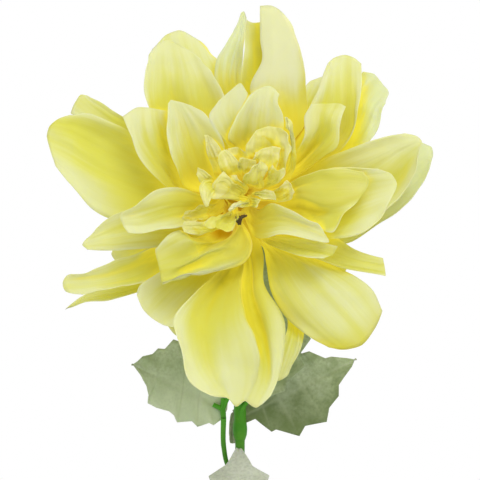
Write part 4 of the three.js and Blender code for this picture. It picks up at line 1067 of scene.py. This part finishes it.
# The rims are paler, partly the satin's own pale edge and partly a painted highlight where rolled edges catch light
pale = (along + (streaks - 0.5) * 0.6).between(0.35, 1.05) * 0.6 + edge**4 * 0.2 + tone * 0.5
# Where the cloth comes forward it is painted paler, as a painted highlight
pale = pale + (bands - 0.5) * 0.9 + (wash - 0.5) * 0.4 + forward * along.between(0.0, 0.5) * 0.13
pale = pale - throat * 0.6 - 0.08
yellow = wire.tint(throat, YELLOW, THROAT_YELLOW)
yellow = wire.tint(streaks.between(0.5, 0.75) * 0.5, yellow, STREAK_YELLOW)
cream = wire.tint(tone.between(0.6, 1.0), CREAM, GREENISH_CREAM)
heart = petal_number.between(HEART_FROM * 10 - 0.5, HEART_FROM * 10)
cream = wire.tint(heart, cream, HEART_CREAM)
petal_colour = wire.tint(pale.between(0.1, 0.95), yellow, cream)
# Painted shade: gold where other petals shade the satin, where it lies back, in rumpled creases; less in the heart
painted_shade_share = (hollow - forward * 0.06 + sunk * 0.16 - heart * 0.13).between(0.04, 0.42)
petal_colour = wire.tint(painted_shade_share * 0.85, petal_colour, PAINTED_SHADE_GOLD)
# Painted deep shade: amber where the shade is deepest, more of it in the heart
painted_deep_shade_share = (hollow + heart * 0.1 + sunk * 0.08).between(0.38, 0.82)
petal_colour = wire.tint(painted_deep_shade_share, petal_colour, PAINTED_SHADE_AMBER)
# Painted shadow: the petal in the pit turns dark brown where it is marked
pit_shadow_share = hollow.between(1.3, 1.8)
petal_colour = wire.tint(pit_shadow_share, petal_colour, PAINTED_PIT_SHADOW)
# Painted glow in place of light through the satin: yellow from shade and the heart, orange in the deepest shade
painted_glow = wire.tint(hollow.between(0.45, 0.8), PAINTED_GLOW, PAINTED_SHADE_GLOW)
painted_glow_share = (hollow + wire.math("MINIMUM", forward, 0) * 0.06).between(0.06, 0.5) + heart * 0.13
threads = wire.noise(place, 2400, 1)
surface(
    wire,
    {
        "Base Color": petal_colour,
        "Roughness": 0.62 + lines * 0.12,
        "Specular IOR Level": 0.25,
        "Sheen Weight": 0.15,
        "Sheen Roughness": 0.4,
        "Subsurface Weight": 0.8,
        "Subsurface Radius": (1.0, 0.9, 0.3),
        "Subsurface Scale": 0.0009,
        "Emission Color": wire.tint(painted_glow_share * (1 - pit_shadow_share), (0, 0, 0), painted_glow),
        "Emission Strength": 1.0,
        "Normal": wire.bump(lines + streaks + threads * 0.3, 0.2, 0.0003),
    },
)

petals = [[] for _ in ROUNDS]
for row, angle, length, width, apart, drawn in PETALS:
    petal = {**PETAL, **ROUNDS[row - 1], "length": length, "width": width, **apart}
    sharp = SOFT_CREASES if row <= HEART_FROM else SHARP_CREASES
    size = LONG_GRID if length > LONG_PETAL else SHORT_GRID
    petal["grid"] = drawn_grid(angle, petal, drawn, sharp, *size)
    petals[row - 1].append(petal)

# Painted shade: how much of the open sky over each place the other petals take away, painted gold in the satin
thicket = BVHTree.FromPolygons(*sheet_faces([petal["grid"] for row in petals for petal in row]))
rays = np.random.default_rng(4).normal(size=(RAYS, 3))
rays = rays / np.linalg.norm(rays, axis=1, keepdims=True) + FACE * RAY_LEAN
rays /= np.linalg.norm(rays, axis=1, keepdims=True)
for petal in [petal for row in petals for petal in row]:
    found = []
    for point in petal["grid"][..., :3].reshape(-1, 3):
        shut = 0
        for ray in rays:
            reach = thicket.ray_cast(Vector(point + ray * RAY_START), Vector(ray), RAY_REACH)[3]
            shut += 0 if reach is None else 1 - reach / RAY_REACH
        found.append(shut / RAYS)
    found = np.array(found).reshape(petal["grid"].shape[:2])
    # Painted shade near the root: the clockwise part is painted as shaded, up to its reach
    shade_reach, share, strength = petal["painted_root_shade"]
    rooted = found[:, : round(share * found.shape[1])]
    ramp = np.clip((shade_reach - np.linspace(0, 1, len(found))) / (shade_reach * 0.75 + 0.001), 0, 1)[:, None]
    np.maximum(rooted, strength * ramp, out=rooted)
    # The petal in the pit is painted dark beyond that reach, as the pit's shadow
    if petal["paints_pit_shadow"]:
        found[round(shade_reach * len(found)) :] = PIT_SHADOW_LEVEL
    petal["hollow"] = found


def joined(piece, other):
    with bpy.context.temp_override(active_object=piece, selected_editable_objects=[piece, other]):
        bpy.ops.object.join()


for i, (round_of, row) in enumerate(zip(ROUNDS, petals)):
    piece = plain_mesh(f"petals_{i + 1}", *sheet_faces([petal["grid"] for petal in row]))
    marks = {name: [] for name in ("along", "across", "petal", "tone", "size", "hollow", "forward")}
    for k, petal in enumerate(row):
        flat = np.ones(petal["hollow"].shape)
        count, columns = flat.shape
        marks["along"].append(flat * np.linspace(0, 1, count)[:, None])
        marks["across"].append(flat * np.linspace(-1, 1, columns))
        marks["petal"].append(flat * (i * 10 + k))
        marks["tone"].append(flat * petal["tone"])
        marks["size"].append(flat * petal["width"] * MM)
        marks["hollow"].append(petal["hollow"])
        marks["forward"].append(petal["grid"][..., 3])
    for name, values in marks.items():
        marked(piece, name, np.concatenate([value.ravel() for value in values]))
    in_heart = i >= HEART_FROM
    values = {
        "Pleats": 2.0, "Pleat depth": 0.11, "Crease depth": 0.3 if in_heart else 0.09, "Ripples": 1.7,
        "Ripple depth": 0.03, "Crumples": 200 if in_heart else 75, "Crumple depth": 5 * MM,
        "Rumples": 120, "Rumple depth": 6 * MM if in_heart else 0, "Seed": i * 3.3, "Material": petal_cloth,
    }
    grown(piece, pleating, values, CLOTH)
    last = i + 1 == len(ROUNDS)
    bottom = round_of["high"] - SLEEVE_FOOT
    top = round_of["high"] + 2 if last else ROUNDS[i + 1]["high"] - SLEEVE_FOOT - GAP
    wall = [(SLEEVE_HOLE, bottom), (round_of["sleeve"], bottom), (round_of["sleeve"], top)]
    if last:
        ring = [(0, PIN_LENGTH + GAP), (SLEEVE_HOLE, PIN_LENGTH + GAP), *wall, (0, top)]
    else:
        ring = [*wall, (SLEEVE_HOLE, top), wall[0]]
    sleeve = plain_mesh(f"petal_sleeve_{i + 1}", *turned_faces(ring, SLEEVE_SIDES, HUB, FACE))
    sleeve.data.materials.append(petal_cloth)
    # The sleeves are painted as deep amber shade, with an orange painted glow
    marked(sleeve, "hollow", [SLEEVE_PAINTED_SHADE] * len(sleeve.data.vertices))
    joined(piece, sleeve)
    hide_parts(f"petal_round_{i + 1}")
    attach(piece, "root")

# Calyx. The cup that holds the rounds from behind, with six pointed sepals on its rim. It is moulded in the same
# green plastic as the stem and pushed on the stem's pin before the first round.
CALYX_SIDES = 48
SEPAL_ANGLES = (20, 78, 141, 198, 262, 320)
SEPAL_THICKNESS = 0.9
SEPAL_GRID = (8, 14)
SEPAL = {
    "length": 17, "width": 9, "neck": 6.5, "root": 4.5, "high": -1.6, "rise": (-2, -8, -14), "cup": (0.5, 0.3),
    "wide_at": 0.35, "point": 1.3,
}
ROUND_TIP = 0.03
CUP_SLICES = 16
CUP_PROFILE = [
    (3, -9), (3.4, -9.3), (4.1, -9.2), (4.6, -8.2), (5.6, -5.6), (6.5, -3), (7, -0.6), (6.7, 0),
    (1.5, 0), (1.5, -3), (3, -3), (3, -9),
]


def sepal_grid(angle, across, along):
    """A sepal's middle surface, pointed and cupped: rows of points from one edge to the other."""
    s, line, ahead, sideways = middle_line(angle, SEPAL, along)
    u = np.linspace(-1, 1, across + 1)
    neck = SEPAL["neck"] / SEPAL["width"]
    low = neck + (1 - neck) * np.sin(np.clip(s / SEPAL["wide_at"], 0, 1) * np.pi / 2) ** 1.25
    over = np.clip((s - SEPAL["wide_at"]) / (1 - SEPAL["wide_at"]), 0, 1)
    high = np.clip(1 - over ** SEPAL["point"], 0, 1) ** (1 / SEPAL["point"])
    half = (SEPAL["width"] / 2 * np.where(s < SEPAL["wide_at"], low, high))[:, None]
    cup = SEPAL["cup"][0] + (SEPAL["cup"][1] - SEPAL["cup"][0]) * np.clip(s / 0.6, 0, 1) ** 0.8
    cup = (cup * np.clip(s / 0.14, 0, 1))[:, None]
    x, z = np.zeros((len(s), len(u))), np.zeros((len(s), len(u)))
    for k in range(CUP_SLICES):
        lean = cup * np.abs(u) * (k + 0.5) / CUP_SLICES
        x += np.cos(lean) * half * np.abs(u) / CUP_SLICES
        z += np.sin(lean) * half * np.abs(u) / CUP_SLICES
    tip = -NOTCH * np.cos(2 * np.pi * u) - ROUND_TIP * u * u
    push = SEPAL["length"] * tip * s[:, None] ** 6
    line, ahead, inward = line[:, None], ahead[:, None], np.cross(ahead, sideways)[:, None]
    return line + sideways * (np.sign(u) * x)[..., None] + inward * z[..., None] + ahead * push[..., None]


calyx = plain_mesh("calyx_cup", *turned_faces(CUP_PROFILE, CALYX_SIDES, HUB, FACE))
sepals = plain_mesh("calyx_sepals", *sheet_faces([sepal_grid(angle, *SEPAL_GRID) for angle in SEPAL_ANGLES]))
grown(sepals, thickness=SEPAL_THICKNESS)
joined(calyx, sepals)
calyx.data.materials.clear()
calyx.data.materials.append(stem_plastic)
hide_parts("calyx")
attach(calyx, "root")

# Studio. A pale matt floor with white all round it, a large soft light high on the right and a weak one low on the
# left. The camera looks at the bloom straight from the front, as in the photo.
CAMERA_AT = (0, -0.831, 0.3295)
CAMERA_LENS = 153.8
SENSOR_WIDTH = 36
LIT = (0, -0.04, 0.33)
FLOOR_RADIUS = 1200
FLOOR_SIDES = 96

floor_profile = [(0, -1), (FLOOR_RADIUS, -1), (FLOOR_RADIUS, 0), (0, 0)]
floor = plain_mesh("floor", *turned_faces(floor_profile, FLOOR_SIDES))
floor_paint, wire = finish_of("floor_paint")
grain = wire.noise(wire.node("ShaderNodeTexCoord", out="Object"), 30, 3)
surface(wire, {"Base Color": wire.tint(grain, (0.80, 0.80, 0.79), (0.83, 0.83, 0.82)), "Roughness": 0.7})
floor.data.materials.append(floor_paint)

world = bpy.data.worlds.new("studio")
world.use_nodes = True
sky = Wire(world.node_tree)
seen = sky.node("ShaderNodeLightPath", out="Is Camera Ray")
world.node_tree.links.new(
    sky.tint(seen, (0.80, 0.80, 0.80), (1, 1, 1)).socket,
    world.node_tree.nodes["Background"].inputs["Color"],
)
bpy.context.scene.world = world


def soft_light(name, at, size, power):
    lamp = bpy.data.lights.new(name, "AREA")
    lamp.shape = "DISK"
    lamp.size = size
    lamp.energy = power
    made = bpy.data.objects.new(name, lamp)
    bpy.context.scene.collection.objects.link(made)
    made.location = at
    aim = np.array(LIT) - np.array(at)
    tilt = math.acos(-aim[2] / np.linalg.norm(aim))
    made.rotation_euler = (tilt, 0, math.atan2(aim[1], aim[0]) - math.pi / 2)


soft_light("key_light", (0.25, -0.85, 0.95), 0.5, 4.9)
soft_light("fill_light", (-0.9, -0.6, 0.35), 0.7, 0.7)

camera = bpy.data.objects.new("camera", bpy.data.cameras.new("camera"))
bpy.context.scene.collection.objects.link(camera)
camera.location = CAMERA_AT
camera.rotation_euler = (math.pi / 2, 0, 0)
camera.data.lens = CAMERA_LENS
camera.data.sensor_width = SENSOR_WIDTH
bpy.context.scene.camera = camera
bpy.context.scene.view_settings.view_transform = "Standard"
